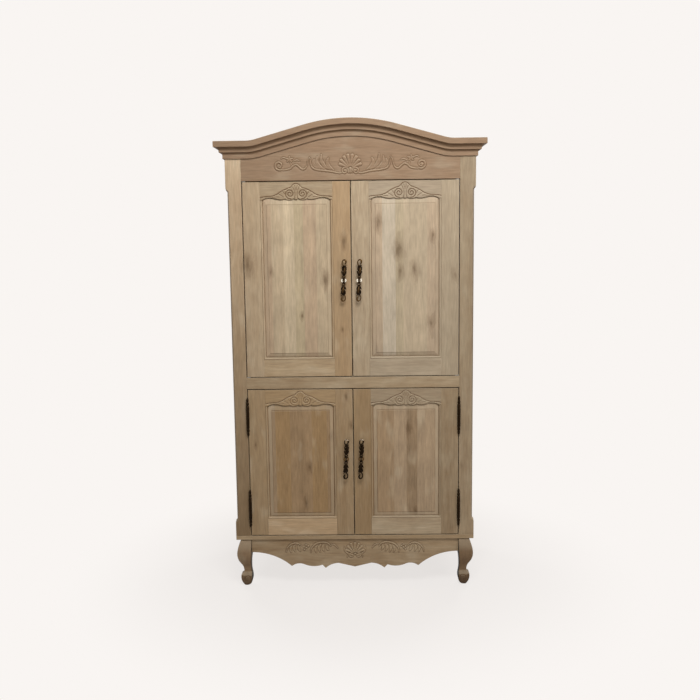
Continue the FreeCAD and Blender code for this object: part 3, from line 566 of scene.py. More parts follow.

# %% [markdown]
# ## Metal, plastic and plywood
# The pulls and hinges are dark bronzed castings, rubbed to bronze where hands touch them; the near-white
# polish on the pulls is a painted highlight. The pocket slides are zinc plated, the catches brown plastic,
# and the back is a sheet of rotary cut plywood, whose veneer shows wide waves.

# %% The other finishes
# The last colour is near-white polished metal, used as a painted highlight on the pulls
IRON, IRON_SHADE, BRONZE, GLINT_WHITE = srgb(36, 26, 16), srgb(18, 12, 8), srgb(98, 74, 45), srgb(236, 230, 214)
ZINC, ZINC_PALE = srgb(168, 168, 166), srgb(206, 206, 202)
PLASTIC, PLASTIC_PALE = srgb(122, 88, 60), srgb(142, 106, 74)
VENEER, VENEER_PALE, VENEER_PORE = srgb(176, 146, 106), srgb(208, 182, 142), srgb(128, 98, 64)
CASTING_GRIT, ZINC_CLOUDS, PLASTIC_GRAIN = 420.0, 60.0, 1600.0   # per metre
ZINC_DRAWN = (900, 12)      # fine lines per metre across the drawing of the steel, and along it
GLINT_ENDS, BRONZE_ENDS = (0.45, 0.8), (0.1, 0.4)   # rub of a casting at which the painted highlight and the bronze wear start and are full
GLINT_GRIT, BRONZE_GRIT = 0.4, 0.3                  # how far the grit breaks up their edges
VENEER_GRAIN = {   # repeats per metre across and along the sheet, a level of the noise, and its detail
    "drift": (3.2, 1.1, 0.0, 3.0), "wave": (16, 0.9, 4.2, 2.0), "fibre": (520, 10, 1.7, 2.0),
    "pore": (900, 26, 9.1, 1.0),
}
PORES = (0.14, 0.28)


def dark_iron_finish():
    """Bronzed casting, rubbed to bronze where its mesh says, with a painted highlight of near-white polish
    where the mark is highest.
    """
    material, sheet = new_material("dark_iron_casting")
    grit = sheet.noise(sheet.scaled(sheet.place(), CASTING_GRIT), 4.0, 0.6)
    rub = sheet.attribute("rub")
    # painted highlight: near-white polish where the mark is highest; bronze wear below it
    glint_share = sheet.soft_step(rub + (grit - 0.5) * GLINT_GRIT, *GLINT_ENDS)
    warm = sheet.soft_step(rub + (grit - 0.5) * BRONZE_GRIT, *BRONZE_ENDS)
    colour = sheet.coats(sheet.mix(grit * 0.6, IRON, IRON_SHADE), (warm, BRONZE), (glint_share, GLINT_WHITE))
    sheet.surface(Base_Color=colour, Metallic=1.0, Roughness=grit * 0.3 + glint_share * -0.1 + 0.18,
                  Normal=sheet.bump(grit * (0.2 * MM)))
    return material


def zinc_finish():
    """Plated steel, drawn from front to back."""
    material, sheet = new_material("zinc_plate")
    place = sheet.place()
    axes = sheet.axes(place)
    fine, long = ZINC_DRAWN
    spot = sheet.point(axes.output("X") * fine, axes.output("Y") * long, axes.output("Z") * fine)
    drawn = sheet.noise(spot)
    cloud = sheet.noise(sheet.scaled(place, ZINC_CLOUDS), 3.0)
    sheet.surface(Base_Color=sheet.mix(cloud, ZINC, ZINC_PALE), Metallic=1.0,
                  Roughness=drawn * 0.2 + cloud * 0.12 + 0.2, Normal=sheet.bump(drawn * (0.06 * MM)))
    return material


def plastic_finish():
    """Moulded plastic with a fine grain."""
    material, sheet = new_material("catch_plastic_brown")
    grain = sheet.noise(sheet.scaled(sheet.place(), PLASTIC_GRAIN))
    sheet.surface(Base_Color=sheet.mix(grain, PLASTIC, PLASTIC_PALE), Roughness=grain * 0.2 + 0.4,
                  Normal=sheet.bump(grain * (0.08 * MM)))
    return material


def plywood_finish():
    """Rotary cut veneer that stands upright."""
    material, sheet = new_material("back_plywood_sheet")
    axes = sheet.axes(sheet.place())

    def layer(label, bend=None):
        """One layer of the veneer's grain, around 0."""
        fine, long, level, detail = VENEER_GRAIN[label]
        run = axes.output("X") * fine if bend is None else axes.output("X") * fine + bend
        spot = sheet.point(run, axes.output("Z") * long, level)
        return sheet.noise(spot, detail) - 0.5

    wave = layer("wave", layer("drift") * 7)
    fibre = layer("fibre")
    pores = sheet.soft_step(layer("pore"), *PORES)
    colour = sheet.mix(wave * 1.3 + fibre * 0.35 + 0.5, VENEER, VENEER_PALE)
    colour = sheet.mix(pores * 0.35, colour, VENEER_PORE)
    sheet.surface(Base_Color=colour, Roughness=fibre * 0.2 + 0.66, Specular_IOR_Level=0.3,
                  Normal=sheet.bump(fibre * (0.2 * MM) - pores * (0.1 * MM)))
    return material


dark_iron = dark_iron_finish()
zinc = zinc_finish()
catch_plastic = plastic_finish()
back_plywood = plywood_finish()
print([finish.name for finish in (dark_iron, zinc, catch_plastic, back_plywood)])

# %% [markdown]
# ## Boards with softened edges
# No joiner leaves a knife edge on a cabinet: every arris is broken with sandpaper, and that thin rounding
# is what catches the light. A Bevel modifier would do it, but the solids arrive as loose triangles, so
# each is sewn together first, its flats are made whole, and then its long sharp edges are rounded. The
# ridge of the rounding is marked, so that the finish can be a little paler there. The crown keeps its
# planed profile, and its inside corners are marked for painted shade instead.

# %% Sewing and rounding
SEW = 0.02 * MM
FLAT = math.radians(0.4)
SHARP = math.radians(25)
EDGE_ROUND = 1.3 * MM
SHORTEST_EDGE = 4.0 * MM
CORNER_FULL_SHADE = math.radians(75)   # bend of an inside corner that gets the full painted shade
LEAST_SHADE = 0.06


def sewn_copy(node):
    """The solid of a node as whole faces."""
    bm = bmesh.new()
    bm.from_mesh(frame["nodes"][node].data)
    bmesh.ops.remove_doubles(bm, verts=bm.verts, dist=SEW)
    bmesh.ops.dissolve_limit(bm, angle_limit=FLAT, verts=bm.verts, edges=bm.edges)
    return bm


def round_edges(bm, radius=EDGE_ROUND, spare=lambda vert: False):
    """Round the long sharp edges, apart from those between two spared corners."""
    ridge = bm.verts.layers.float.get("edge") or bm.verts.layers.float.new("edge")
    sharp = []
    for edge in bm.edges:
        folded = len(edge.link_faces) == 2 and edge.calc_face_angle() > SHARP
        if folded and edge.calc_length() > SHORTEST_EDGE and not all(spare(vert) for vert in edge.verts):
            sharp.append(edge)
    made = bmesh.ops.bevel(bm, geom=sharp, offset=radius, offset_type="OFFSET", segments=2, profile=0.5,
                           affect="EDGES", clamp_overlap=True)
    rounded = set(made["faces"])
    for vert in made["verts"]:
        if all(face in rounded for face in vert.link_faces):
            vert[ridge] = 1.0


def paint_corner_shade(bm):
    """Mark the inside corners for painted shade, the more the sharper the corner."""
    hollow = bm.verts.layers.float.new("hollow")
    for edge in bm.edges:
        if len(edge.link_faces) == 2:
            darkening = min(1.0, -edge.calc_face_angle_signed() / CORNER_FULL_SHADE)
            if darkening > LEAST_SHADE:
                for vert in edge.verts:
                    vert[hollow] = max(vert[hollow], darkening)


def to_mesh(bm, name):
    """A mesh from a finished bmesh, which is freed."""
    mesh = bpy.data.meshes.new(name)
    bm.to_mesh(mesh)
    bm.free()
    return mesh


sample = sewn_copy("mid_rail")
print("the mid rail is sewn to", len(sample.faces), "whole faces")
sample.free()

# %% What a board carries for its finish
SHADES = {   # light added to or taken from a board, its warmth and its blush, where they differ from the rest
    "crown_front": (-0.28, 0.2, 0.6), "crown_left": (-0.28, 0.2, 0.6), "crown_right": (-0.28, 0.2, 0.6),
    "frieze_board": (-0.27, 0.15, 0.5), "mid_rail": (-0.05, 0.15), "bottom_board": (0.0, 0.5),
    "front_apron": (0.0, 0.2), "front_left_leg": (-0.24, 0.6, 0.3), "front_right_leg": (-0.4, 0.7, 0.3),
    "upper_left_hinge_stile": (0.02, 0.05), "upper_left_lock_stile": (0.09, 0.6),
    "upper_left_top_rail": (-0.13, -0.05), "upper_left_bottom_rail": (0.12, 0.1),
    "upper_left_panel": (0.06, -0.06),
    "upper_right_hinge_stile": (-0.12, -0.4), "upper_right_lock_stile": (-0.03, -0.2),
    "upper_right_top_rail": (-0.18, -0.5), "upper_right_bottom_rail": (-0.07, -0.5),
    "upper_right_panel": (0.04, -0.28),
    "lower_left_hinge_stile": (0.0, 0.6), "lower_left_lock_stile": (-0.02, 0.45),
    "lower_left_top_rail": (0.05, 0.7), "lower_left_bottom_rail": (0.33, 0.4),
    "lower_left_panel": (0.0, 0.2),
    "lower_right_hinge_stile": (-0.16, 0.2), "lower_right_lock_stile": (-0.05, 0.75),
    "lower_right_top_rail": (-0.2, -0.1), "lower_right_bottom_rail": (0.0, -0.1),
    "lower_right_panel": (0.1, -0.06),
}
RISING_SHADES = {   # light and warmth at the foot and at the head of a board that changes upwards
    "left_front_post": ((-0.3, 0.7), (0.26, -0.15)), "right_front_post": ((-0.12, 0.15), (-0.28, -0.05)),
}


def board_number(name):
    """A number between 0 and 1 that is the board's own."""
    return (zlib.crc32(name.encode()) % 9973) / 9973


def corners_of(mesh):
    """Places of a mesh's corners, one row each."""
    co = np.empty(len(mesh.vertices) * 3, np.float32)
    mesh.vertices.foreach_get("co", co)
    return co.reshape(-1, 3).astype(float)


def mark(mesh, name, values):
    """Store one number per corner of the mesh, for the finish to read."""
    layer = mesh.attributes.get(name) or mesh.attributes.new(name, "FLOAT", "POINT")
    layer.data.foreach_set("value", np.broadcast_to(np.float32(values), len(mesh.vertices)).copy())


def shade_board(mesh, node):
    """Mark a mesh with the light, warmth and blush of the board it stands for."""
    for label, value in zip(("shade", "warmth", "blush"), SHADES.get(node, ())):
        mark(mesh, label, value)
    if node in RISING_SHADES:
        height = corners_of(mesh)[:, 2]
        for label, values in zip(("shade", "warmth"), zip(*RISING_SHADES[node])):
            mark(mesh, label, np.interp(height, (height.min(), height.max()), values))


print(len(SHADES) + len(RISING_SHADES), "boards have a tone of their own")

# %% Adding a piece
FLAT_AREA = 0.002        # square metres; larger faces are flats, and keep their own normal


def add_piece(name, mesh, body, slot, materials, nodes=(), smooth_angle=SHARP):
    """Put a finished mesh in the scene, riding on its body and standing for its nodes."""
    for node in nodes:
        shade_board(mesh, node)
    for material in materials:
        mesh.materials.append(material)
    mesh.shade_smooth()
    mesh.set_sharp_from_angle(angle=smooth_angle)
    mesh.polygons.foreach_set("use_smooth", [face.area < FLAT_AREA for face in mesh.polygons])
    if mesh.attributes.get("board") is None:
        mark(mesh, "board", board_number(name))
    piece = new_object(name, mesh)
    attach(piece, body)
    if nodes:
        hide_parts(*nodes)
    return piece


def stand_in(node, mesh, *materials, smooth_angle=SHARP):
    """Put a finished mesh in the place of one solid."""
    return add_piece(mesh.name, mesh, BODY_OF[node], SLOT_OF[node], materials, [node], smooth_angle)


def dress(node, material, radius=EDGE_ROUND, smooth_angle=SHARP):
    """Put a softened copy of a solid in its place; with no radius its inside corners get painted shade
    instead.
    """
    bm = sewn_copy(node)
    if radius:
        round_edges(bm, radius)
    else:
        paint_corner_shade(bm)
    return stand_in(node, to_mesh(bm, node + "_finished"), material, smooth_angle=smooth_angle)


print("faces under", round(FLAT_AREA / MM ** 2), "square millimetres are shaded smooth")

# %% Plain boards, mouldings and fittings
PLAIN_BOARDS = {
    UPRIGHT: ["left_front_post", "right_front_post"],
    LEVEL: ["mid_rail", "bottom_board"],
    LEVEL_SIDE: ["left_apron", "right_apron"],
}
MOULDING_SMOOTH = math.radians(30)
FITTING_SMOOTH = math.radians(40)
SHEET_ROUND, STEEL_ROUND, PLASTIC_ROUND = 0.5 * MM, 0.4 * MM, 1.0 * MM
for grain, names in PLAIN_BOARDS.items():
    for node in names:
        dress(node, washed[grain])
for node in ("tv_deck", "lower_shelf", "top_board", "rear_rail"):
    dress(node, case_wood)
dress("crown_front", washed[LEVEL], radius=0, smooth_angle=MOULDING_SMOOTH)
for node in ("crown_left", "crown_right"):
    dress(node, washed[LEVEL_SIDE], radius=0, smooth_angle=MOULDING_SMOOTH)
dress("back_panel", back_plywood, SHEET_ROUND)
for node in ("pocket_channels", "upper_left_carriage", "upper_right_carriage", "shelf_pins"):
    dress(node, zinc, STEEL_ROUND, FITTING_SMOOTH)
dress("magnetic_catches", catch_plastic, PLASTIC_ROUND)

# %% [markdown]
# ## Raised panels
# A raised panel is a board whose border is planed down until its edge fits the groove of its frame. It is
# a stack of rectangles, each a little smaller and further forward than the last, so a list of insets and
# depths describes it: the tongue, a slightly hollow bevel, a small step, and the flat field.

# %% Raised panel from rings
BEVEL_STEPS = 6
BEVEL_HOLLOW = 1.25                # 1 would be a flat bevel
FIELD_STEP = 1.6 * MM              # the small step between the bevel and the field
FIELD_EDGE = ((0.5 * MM, 0.25), (1.3 * MM, 0.0))   # insets past the step, and the share of it still to rise
# Painted shade on a panel: on its tongue, at the groove and at the foot of the step
BEVEL_RING_SHADE = {0.0: 0.75, 1.0: 0.5}   # at the groove and at the foot of the step
TONGUE_SHADE = 0.8
PANEL_BEVEL = 19 * MM
PANEL_TONGUE_DEPTH = 8.25 * MM
PANEL_FIELD_DEPTH = 1.5 * MM


def panel_rings(bevel, tongue_depth, field_depth):
    """Share of the bevel and depth behind the frame's face, from the groove to the field."""
    rings = [(0.0, tongue_depth)]
    foot = field_depth + FIELD_STEP
    for k in range(1, BEVEL_STEPS + 1):
        share = k / BEVEL_STEPS
        rings.append((share, foot + (tongue_depth - foot) * (1 - share) ** BEVEL_HOLLOW))
    for inset, rest in FIELD_EDGE:
        rings.append((1.0 + inset / bevel, field_depth + rest * FIELD_STEP))
    return rings


def raised_panel(node, place, low, high, bevels, tongue, depths, back_depth, bevel_highlight=0.0):
    """Panel between two corners (across, up). Bevels are left, right, bottom and top. The tongue reaches into
    the groove, and the last number says how far the bevel is painted paler, a painted highlight."""
    tongue_depth, field_depth = depths
    loops, hollow, edge = [], [], []

    def loop(insets, depth, darkening, pale=0.0):
        left, right, bottom, top = insets
        corners = ((low[0] + left, low[1] + bottom), (high[0] - right, low[1] + bottom),
                   (high[0] - right, high[1] - top), (low[0] + left, high[1] - top))
        loops.append([place(across, up, depth) for across, up in corners])
        hollow.extend([darkening] * 4)
        edge.extend([pale] * 4)

    loop([-tongue] * 4, back_depth, 0.0)
    loop([-tongue] * 4, tongue_depth, TONGUE_SHADE)
    for share, depth in panel_rings(min(bevels), tongue_depth, field_depth):
        # painted highlight on the bevel
        pale = bevel_highlight if 0 < share < 1 else 0.0
        loop([share * bevel for bevel in bevels], depth, BEVEL_RING_SHADE.get(share, 0.0), pale)
    bm = bmesh.new()
    rows = [[bm.verts.new(point) for point in points] for points in loops]
    for row, following in zip(rows, rows[1:]):
        for k in range(4):
            bm.faces.new((row[k], row[k - 1], following[k - 1], following[k]))
    bm.faces.new(rows[0])
    bm.faces.new(rows[-1])
    bmesh.ops.recalc_face_normals(bm, faces=bm.faces)
    mesh = to_mesh(bm, node + "_finished")
    mark(mesh, "hollow", hollow)
    mark(mesh, "edge", edge)
    return mesh


rings = panel_rings(PANEL_BEVEL, PANEL_TONGUE_DEPTH, PANEL_FIELD_DEPTH)
print("bevel rings:", [(round(share, 3), round(depth / MM, 2)) for share, depth in rings])

# %% [markdown]
# ## Panelled sides
# Each side is a frame of two uprights and three rails around two panels. Its solid is one piece, but on
# the bench the rails are separate boards with their own grain, so the dressed frame is made of five
# boards, and their joints show as fine lines.

# %% Side frames and panels
SIDE_STILE = 70 * MM
SIDE_BEVEL = 34 * MM
SIDE_TONGUE_DEPTH = 9.25 * MM
SIDE_FIELD_DEPTH = 2.0 * MM
SIDE_PANEL_BACK = 16.75 * MM
SIDE_TONGUE = 2.0 * MM
BOX_CORNERS = 8


def add_box(bm, low, high):
    """A box between two corners; returns its faces."""
    made = bmesh.ops.create_cube(bm, size=1.0)
    for vert in made["verts"]:
        vert.co = [low[i] + (vert.co[i] + 0.5) * (high[i] - low[i]) for i in range(3)]
    return {face for vert in made["verts"] for face in vert.link_faces}


def side_frame(side, sign):
    """The frame of one side, from two uprights and three rails, and its two panels."""
    node = side + "_side_frame"
    low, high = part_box(node)
    panels = [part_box(f"{side}_{tier}_side_panel") for tier in ("lower", "upper")]
    groove = low.y + SIDE_STILE - panels[0][0].y
    front, rear = low.y + SIDE_STILE, high.y - SIDE_STILE
    levels = [low.z] + [z for box in panels for z in (box[0].z + groove, box[1].z - groove)] + [high.z]
    boards = [((low.x, low.y, low.z), (high.x, front, high.z), 0),
              ((low.x, rear, low.z), (high.x, high.y, high.z), 0)]
    for k in range(0, len(levels), 2):
        boards.append(((low.x, front, levels[k]), (high.x, rear, levels[k + 1]), 1))
    bm = bmesh.new()
    for corner, other, slot in boards:
        for face in add_box(bm, corner, other):
            face.material_index = slot
    number = bm.verts.layers.float.new("board")
    for k, vert in enumerate(bm.verts):
        vert[number] = board_number(f"{node}{k // BOX_CORNERS}")
    round_edges(bm)
    stand_in(node, to_mesh(bm, node + "_finished"), washed[UPRIGHT_SIDE], washed[LEVEL_SIDE])
    outer = low.x if sign < 0 else high.x
    for tier, (panel_low, panel_high) in zip(("lower", "upper"), panels):
        panel = f"{side}_{tier}_side_panel"
        corner = (panel_low.y + groove, panel_low.z + groove)
        other = (panel_high.y - groove, panel_high.z - groove)
        mesh = raised_panel(panel, lambda across, up, depth: (outer - sign * depth, across, up),
                            corner, other, (SIDE_BEVEL,) * 4, SIDE_TONGUE,
                            (SIDE_TONGUE_DEPTH, SIDE_FIELD_DEPTH), SIDE_PANEL_BACK)
        stand_in(panel, mesh, washed_side_panel)


for side, sign in SIDES:
    side_frame(side, sign)
print("side panels:", [o.name for o in bpy.data.objects if "side_panel_finished" in o.name])

# %% [markdown]
# ## Carving as a height over the board
# Low relief carving is a height over a flat board, so it can be worked out instead of sculpted: strokes
# with a rounded section are laid on the ground, the ground is let down around them, and fine lines are
# cut with a veiner. A stroke is a curve with a width at each end, and a leaf, a petal, a scroll and a
# berry are all strokes.

# %% Strokes
STROKE_STEP = 0.6 * MM
SCROLL_POINTS = 14        # for each turn of a scroll
SCROLL_CURL = 0.8         # 1 would be an even spiral
BERRY_STRETCH = 0.2       # millimetres
SIDE_PETAL = 0.80         # length of a level petal of a shell, over that of the middle one


def bell(x, middle, width):
    """1 at the middle, falling smoothly on both sides."""
    return np.exp(-((x - middle) / width) ** 2)


def smooth_line(points, step=STROKE_STEP):
    """Evenly spaced points on a smooth curve through a few points of two or three dimensions."""
    points = np.asarray(points, float)
    padded = np.vstack([2 * points[0] - points[1], points, 2 * points[-1] - points[-2]])
    runs = []
    for k in range(len(points) - 1):
        a, b, c, d = padded[k:k + 4]
        count = max(3, int(np.linalg.norm(c - b) / step))
        t = np.linspace(0, 1, count, endpoint=False)[:, None]
        runs.append(0.5 * (2 * b + (c - a) * t + (2 * a - 5 * b + 4 * c - d) * t ** 2
                           + (3 * b - a - 3 * c + d) * t ** 3))
    return np.vstack(runs + [points[-1:]])


def stroke(points, widths, rise):
    """A raised curve: half widths at even shares of its length, and its height."""
    path = smooth_line(np.asarray(points, float) * MM)
    shares = np.linspace(0, 1, len(path))
    half = np.interp(shares, np.linspace(0, 1, len(widths)), widths) * MM
    return path, half, rise * MM


def spiral(centre, outer, inner, turns, start, hand):
    """Points of a scroll from its outer end to its eye, in millimetres; start in degrees, hand is 1 or -1."""
    turn = np.linspace(0, 1, int(SCROLL_POINTS * turns))
    radius = outer + (inner - outer) * turn ** SCROLL_CURL
    angle = math.radians(start) + hand * 2 * math.pi * turns * turn
    return np.column_stack([centre[0] + radius * np.cos(angle), centre[1] + radius * np.sin(angle)])


def berry(x, z, radius, rise):
    """A round bead."""
    return stroke([(x - BERRY_STRETCH, z), (x + BERRY_STRETCH, z)], [radius, radius], rise)


def fan(centre, angles, inner, outer, foot, tip, rise):
    """Petals of a shell: rounded strokes that spread from a centre, longest in the middle."""
    petals = []
    for angle in angles:
        direction = np.array([math.sin(math.radians(angle)), math.cos(math.radians(angle))])
        reach = outer * (SIDE_PETAL + (1 - SIDE_PETAL) * direction[1])
        radii = (inner, 0.5 * (inner + reach), reach - tip)
        ends = [np.array(centre) + direction * radius for radius in radii]
        petals.append(stroke(ends, [foot, 0.75 * tip, tip], rise))
    return petals


def both_halves(strokes, lines):
    """Strokes and cut lines of a board's right half, with the same ones mirrored."""
    mirror = np.array((-1, 1))
    lines = [np.array(line) for line in lines]
    mirrored = [(path * mirror, half, rise) for path, half, rise in strokes]
    return strokes + mirrored, lines + [line * mirror for line in lines]


print("a test scroll has", len(spiral((0, 0), 20, 4, 1.5, 90, 1)), "points")

# %% Height of a carving
CARVING_REACH = 14 * MM       # how far from a stroke the ground still knows of it
UNCARVED = 50 * MM            # distance that is noted where no stroke is near
GROUND_SPREAD = 10 * MM
TRENCH_DEPTH, TRENCH_PLACE, TRENCH_WIDTH = 1.0 * MM, 1.0 * MM, 1.7 * MM   # the line cut around each stroke
VEIN_WIDTH, VEIN_DEPTH = 1.3 * MM, 0.9 * MM
VEIN_FLOOR = 0.3 * MM         # veins are cut only where a stroke stands this high


def distances(points, path, margin):
    """Which points (n, 2) lie within a margin of a path's box, and their distances to the path's points."""
    near = np.all((points > path.min(0) - margin) & (points < path.max(0) + margin), axis=1).nonzero()[0]
    return near, np.linalg.norm(points[near, None] - path[None], axis=2)


def raised(points, strokes):
    """Height of the strokes over points (n, 2), and the distance to the nearest stroke's edge."""
    height = np.zeros(len(points))
    clear = np.full(len(points), UNCARVED)
    for path, half, rise in strokes:
        near, gap = distances(points, path, half.max() + CARVING_REACH)
        dome = rise * np.sqrt(np.clip(1 - (gap / half) ** 2, 0, 1)).max(1)
        height[near] = np.maximum(height[near], dome)
        clear[near] = np.minimum(clear[near], (gap - half).min(1))
    return height, clear


def cut_lines(points, lines, width, depth):
    """Depth of V cuts along curves that are given in millimetres."""
    cut = np.zeros(len(points))
    for line in lines:
        path = smooth_line(np.asarray(line, float) * MM)
        near, gap = distances(points, path, 4 * width)
        cut[near] = np.maximum(cut[near], depth * bell(gap.min(1), 0, width))
    return cut


def relief(points, strokes, lines, sink):
    """Carving of strokes on a ground that is let down around them, with cut lines."""
    height, clear = raised(points, strokes)
    ground = sink * bell(np.clip(clear, 0, None), 0, GROUND_SPREAD)
    trench = TRENCH_DEPTH * bell(clear, TRENCH_PLACE, TRENCH_WIDTH)
    veins = cut_lines(points, lines, VEIN_WIDTH, VEIN_DEPTH) * (height > VEIN_FLOOR)
    return height - ground - trench - veins


test_height, _ = raised(np.zeros((1, 2)), [berry(0, 0, 4.0, 2.5)])
print("a test berry stands", round(test_height[0] / MM, 2), "mm high")

# %% [markdown]
# The carved board itself is a skin over columns: each column is a ring of points that climbs the front
# face, goes over the top and comes down the back. The face points are moved forwards by the carving, and
# the ring's lowest and highest points follow the sawn edges of the board.

# %% Columns, edges and hollows
BROKEN_EDGE = 1.2 * MM
CLOSEST_COLUMNS = 0.15 * MM
RECESS_FULL_SHADE = 0.75 * MM    # a place this far below its surroundings gets the full painted shade
SURROUNDINGS = (1, 2, 4)      # rows and columns away


def spaced(ends, step, extra=()):
    """Even places between two ends, with close ones at each end for the rounded edge, and some given ones."""
    low, high = ends
    places = list(np.linspace(low, high, int(round((high - low) / step)) + 1)) + list(extra)
    for inset in (0.4 * BROKEN_EDGE, BROKEN_EDGE):
        places += [low + inset, high - inset]
    places = np.unique(np.round(places, 6))
    return places[np.insert(np.diff(places) > CLOSEST_COLUMNS, 0, True)]


def broken(distance):
    """How far a broken edge falls back at a distance from the arris."""
    inside = np.clip(BROKEN_EDGE - distance, 0, BROKEN_EDGE)
    return BROKEN_EDGE - np.sqrt(BROKEN_EDGE ** 2 - inside ** 2)


def hollows(height):
    """How deep each face point lies below its surroundings, 0 to 1."""
    around = height.copy()
    for shift in SURROUNDINGS:
        for axis in (0, 1):
            around = around + np.roll(height, shift, axis) + np.roll(height, -shift, axis)
    average = around / (1 + 4 * len(SURROUNDINGS))
    return np.clip((average - height) / RECESS_FULL_SHADE, 0, 1)


falls = [round(float(broken(inset * MM)) / MM, 2) for inset in (0, 0.5, 1)]
print("0, 0.5 and 1 mm from an arris the face falls back", falls, "mm")

# %% Carved board from columns
CARVED_SMOOTH = math.radians(50)
SAME_COLUMN = 0.02 * MM
TOP_SPARED = 1 * MM           # corners this near the top don't belong to the lower edge


def carved_board(node, columns, low, high, row_shares, face_y, height_at, back, material, darkening=1.0):
    """Board whose face is carved. low and high are its edges per column, back lists (y, z) from the top."""
    z = low[:, None] + (high - low)[:, None] * row_shares[None]
    x = np.broadcast_to(columns[:, None], z.shape)
    carving = height_at(np.column_stack([x.ravel(), z.ravel()])).reshape(z.shape)
    from_sides = np.minimum(x - columns[0], columns[-1] - x)
    arris = np.minimum(from_sides, np.minimum(z - low[:, None], high[:, None] - z))
    face = np.stack([x, face_y - carving + broken(arris), z], axis=2)
    edges = [np.column_stack([columns, np.full(len(columns), y), edge]) for y, edge in back]
    rings = np.concatenate([face, np.stack(edges, axis=1)], axis=1)
    count, size = rings.shape[:2]
    index = np.arange(count * size).reshape(count, size)
    onward = np.roll(index, -1, axis=1)
    quads = np.stack([index[:-1], index[1:], onward[1:], onward[:-1]], axis=2).reshape(-1, 4)
    mesh = bpy.data.meshes.new(node + "_carved")
    mesh.from_pydata(rings.reshape(-1, 3), [], quads.tolist() + [index[0].tolist(), index[-1][::-1].tolist()])
    bm = bmesh.new()
    bm.from_mesh(mesh)
    bmesh.ops.recalc_face_normals(bm, faces=bm.faces)
    bm.to_mesh(mesh)
    bm.free()
    hollow = np.zeros((count, size))
    # painted shade in the carving's recesses, darker the deeper they lie
    hollow[:, :len(row_shares)] = np.clip(darkening * hollows(carving), 0, 1)
    mark(mesh, "hollow", hollow.ravel())
    return stand_in(node, mesh, material, smooth_angle=CARVED_SMOOTH)


def outline(node, highest):
    """Height of a solid's upper or lower edge over x, read from its corners: sorted x and z."""
    corners = np.array([v.co for v in frame["nodes"][node].data.vertices])
    middle = 0.5 * (corners[:, 2].min() + corners[:, 2].max())
    edge = corners[:, 2] > middle if highest else corners[:, 2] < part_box(node)[1].z - TOP_SPARED
    keep = corners[edge]
    places = np.unique(np.round(keep[:, 0], 5))
    pick = np.max if highest else np.min
    return places, np.array([pick(keep[np.abs(keep[:, 0] - x) < SAME_COLUMN, 2]) for x in places])


print("frieze top:", [round(float(v), 4) for v in outline("frieze_board", True)[1][[0, -1]]])

# %% [markdown]
# ## The frieze
# The board under the arch carries the finest carving: a shell on two scrolls, and on each side a stem
# with acanthus leaves that curls up, a wavy ribbon, a little flower and an end scroll. It is drawn once,
# for the right half, and mirrored.

# %% Frieze carving
def frieze_strokes():
    """Strokes and veins in millimetres, from the middle and from the frieze's lower edge."""
    half = [
        stroke(spiral((25, 41), 18, 5, 1.4, 200, -1), [4.6, 4.4, 3.2], 2.6),
        berry(25, 41, 4.2, 2.8),
        stroke([(36, 34), (52, 31), (94, 40), (144, 46), (170, 54), (182, 74), (184, 98)],
               [3.0, 4.6, 5.0, 4.6, 2.4], 2.6),
        stroke([(186, 104), (194, 92), (199, 72), (207, 55), (222, 51), (238, 64), (250, 72), (264, 66),
                (276, 55), (292, 50), (310, 48)], [2.4, 3.6, 4.4, 4.2, 4.4, 3.6], 2.4),
        stroke(spiral((328, 69), 23, 6, 1.35, 240, 1), [4.0, 4.8, 3.4], 2.6),
        berry(328, 69, 5.0, 2.8),
    ]
    leaves = [((76, 46), (96, 60), (106, 80), (100, 100)), ((92, 48), (118, 64), (132, 88), (133, 116)),
              ((116, 50), (140, 62), (154, 82), (152, 106)), ((140, 53), (158, 62), (169, 78), (165, 95))]
    half += [stroke(leaf, [2.6, 7.0, 9.0, 7.6, 3.0], 2.3) for leaf in leaves]
    flower_x, flower_z = 280, 96
    for turn in np.radians(range(18, 378, 72)):
        tip = (flower_x + 17 * math.cos(turn), flower_z + 13 * math.sin(turn))
        half.append(stroke([(flower_x, flower_z), tip], [1.8, 5.0, 2.6], 2.2))
    half += [berry(flower_x, flower_z, 4.0, 2.8),
             stroke([(262, 86), (246, 92), (232, 88)], [2.0, 4.6, 1.4], 2.0),
             stroke([(294, 100), (308, 104), (318, 98)], [2.0, 4.4, 1.4], 2.0),
             stroke([(270, 64), (274, 78), (279, 86)], [2.2, 2.0, 1.6], 1.8)]
    shell = fan((0, 54), range(-70, 71, 20), 10, 66, 2.6, 8.0, 2.9)
    middle = [berry(0, 52, 7.0, 3.2), stroke([(0, 44), (0, 30)], [4.4, 2.0], 2.4)]
    strokes, veins = both_halves(half, leaves)
    return strokes + shell + middle, veins


FRIEZE_COLUMN = 1.5 * MM
FRIEZE_ROWS = np.concatenate([[0, 0.0035, 0.007], np.linspace(0.012, 0.68, 84), np.linspace(0.7, 1.0, 5)])
FRIEZE_SINK = 1.0 * MM     # how far the ground is let down
# strength of the painted shade in the frieze's recesses
FRIEZE_RECESS_SHADE = 0.6


def frieze():
    """The board under the arch, whose top edge follows its solid."""
    low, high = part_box("frieze_board")
    strokes, lines = frieze_strokes()
    columns = spaced((low.x, high.x), FRIEZE_COLUMN)
    top = np.interp(columns, *outline("frieze_board", True))
    bottom = np.full(len(columns), low.z)
    return carved_board("frieze_board", columns, bottom, top, FRIEZE_ROWS, low.y,
                        lambda points: relief(points - (0, low.z), strokes, lines, FRIEZE_SINK),
                        [(high.y, top), (high.y, bottom)], washed_frieze, FRIEZE_RECESS_SHADE)


print("frieze faces:", len(frieze().data.polygons))

# %% [markdown]
# ## The apron
# The scalloped board between the front legs has the same kind of carving, worn softer: a shell on a
# scroll in the middle, and on each side a curved leaf with ribs, berries, and an outer leaf that turns
# down. Its lower edge is read from the solid, so that every cusp of the saw cut gets a column of its own.

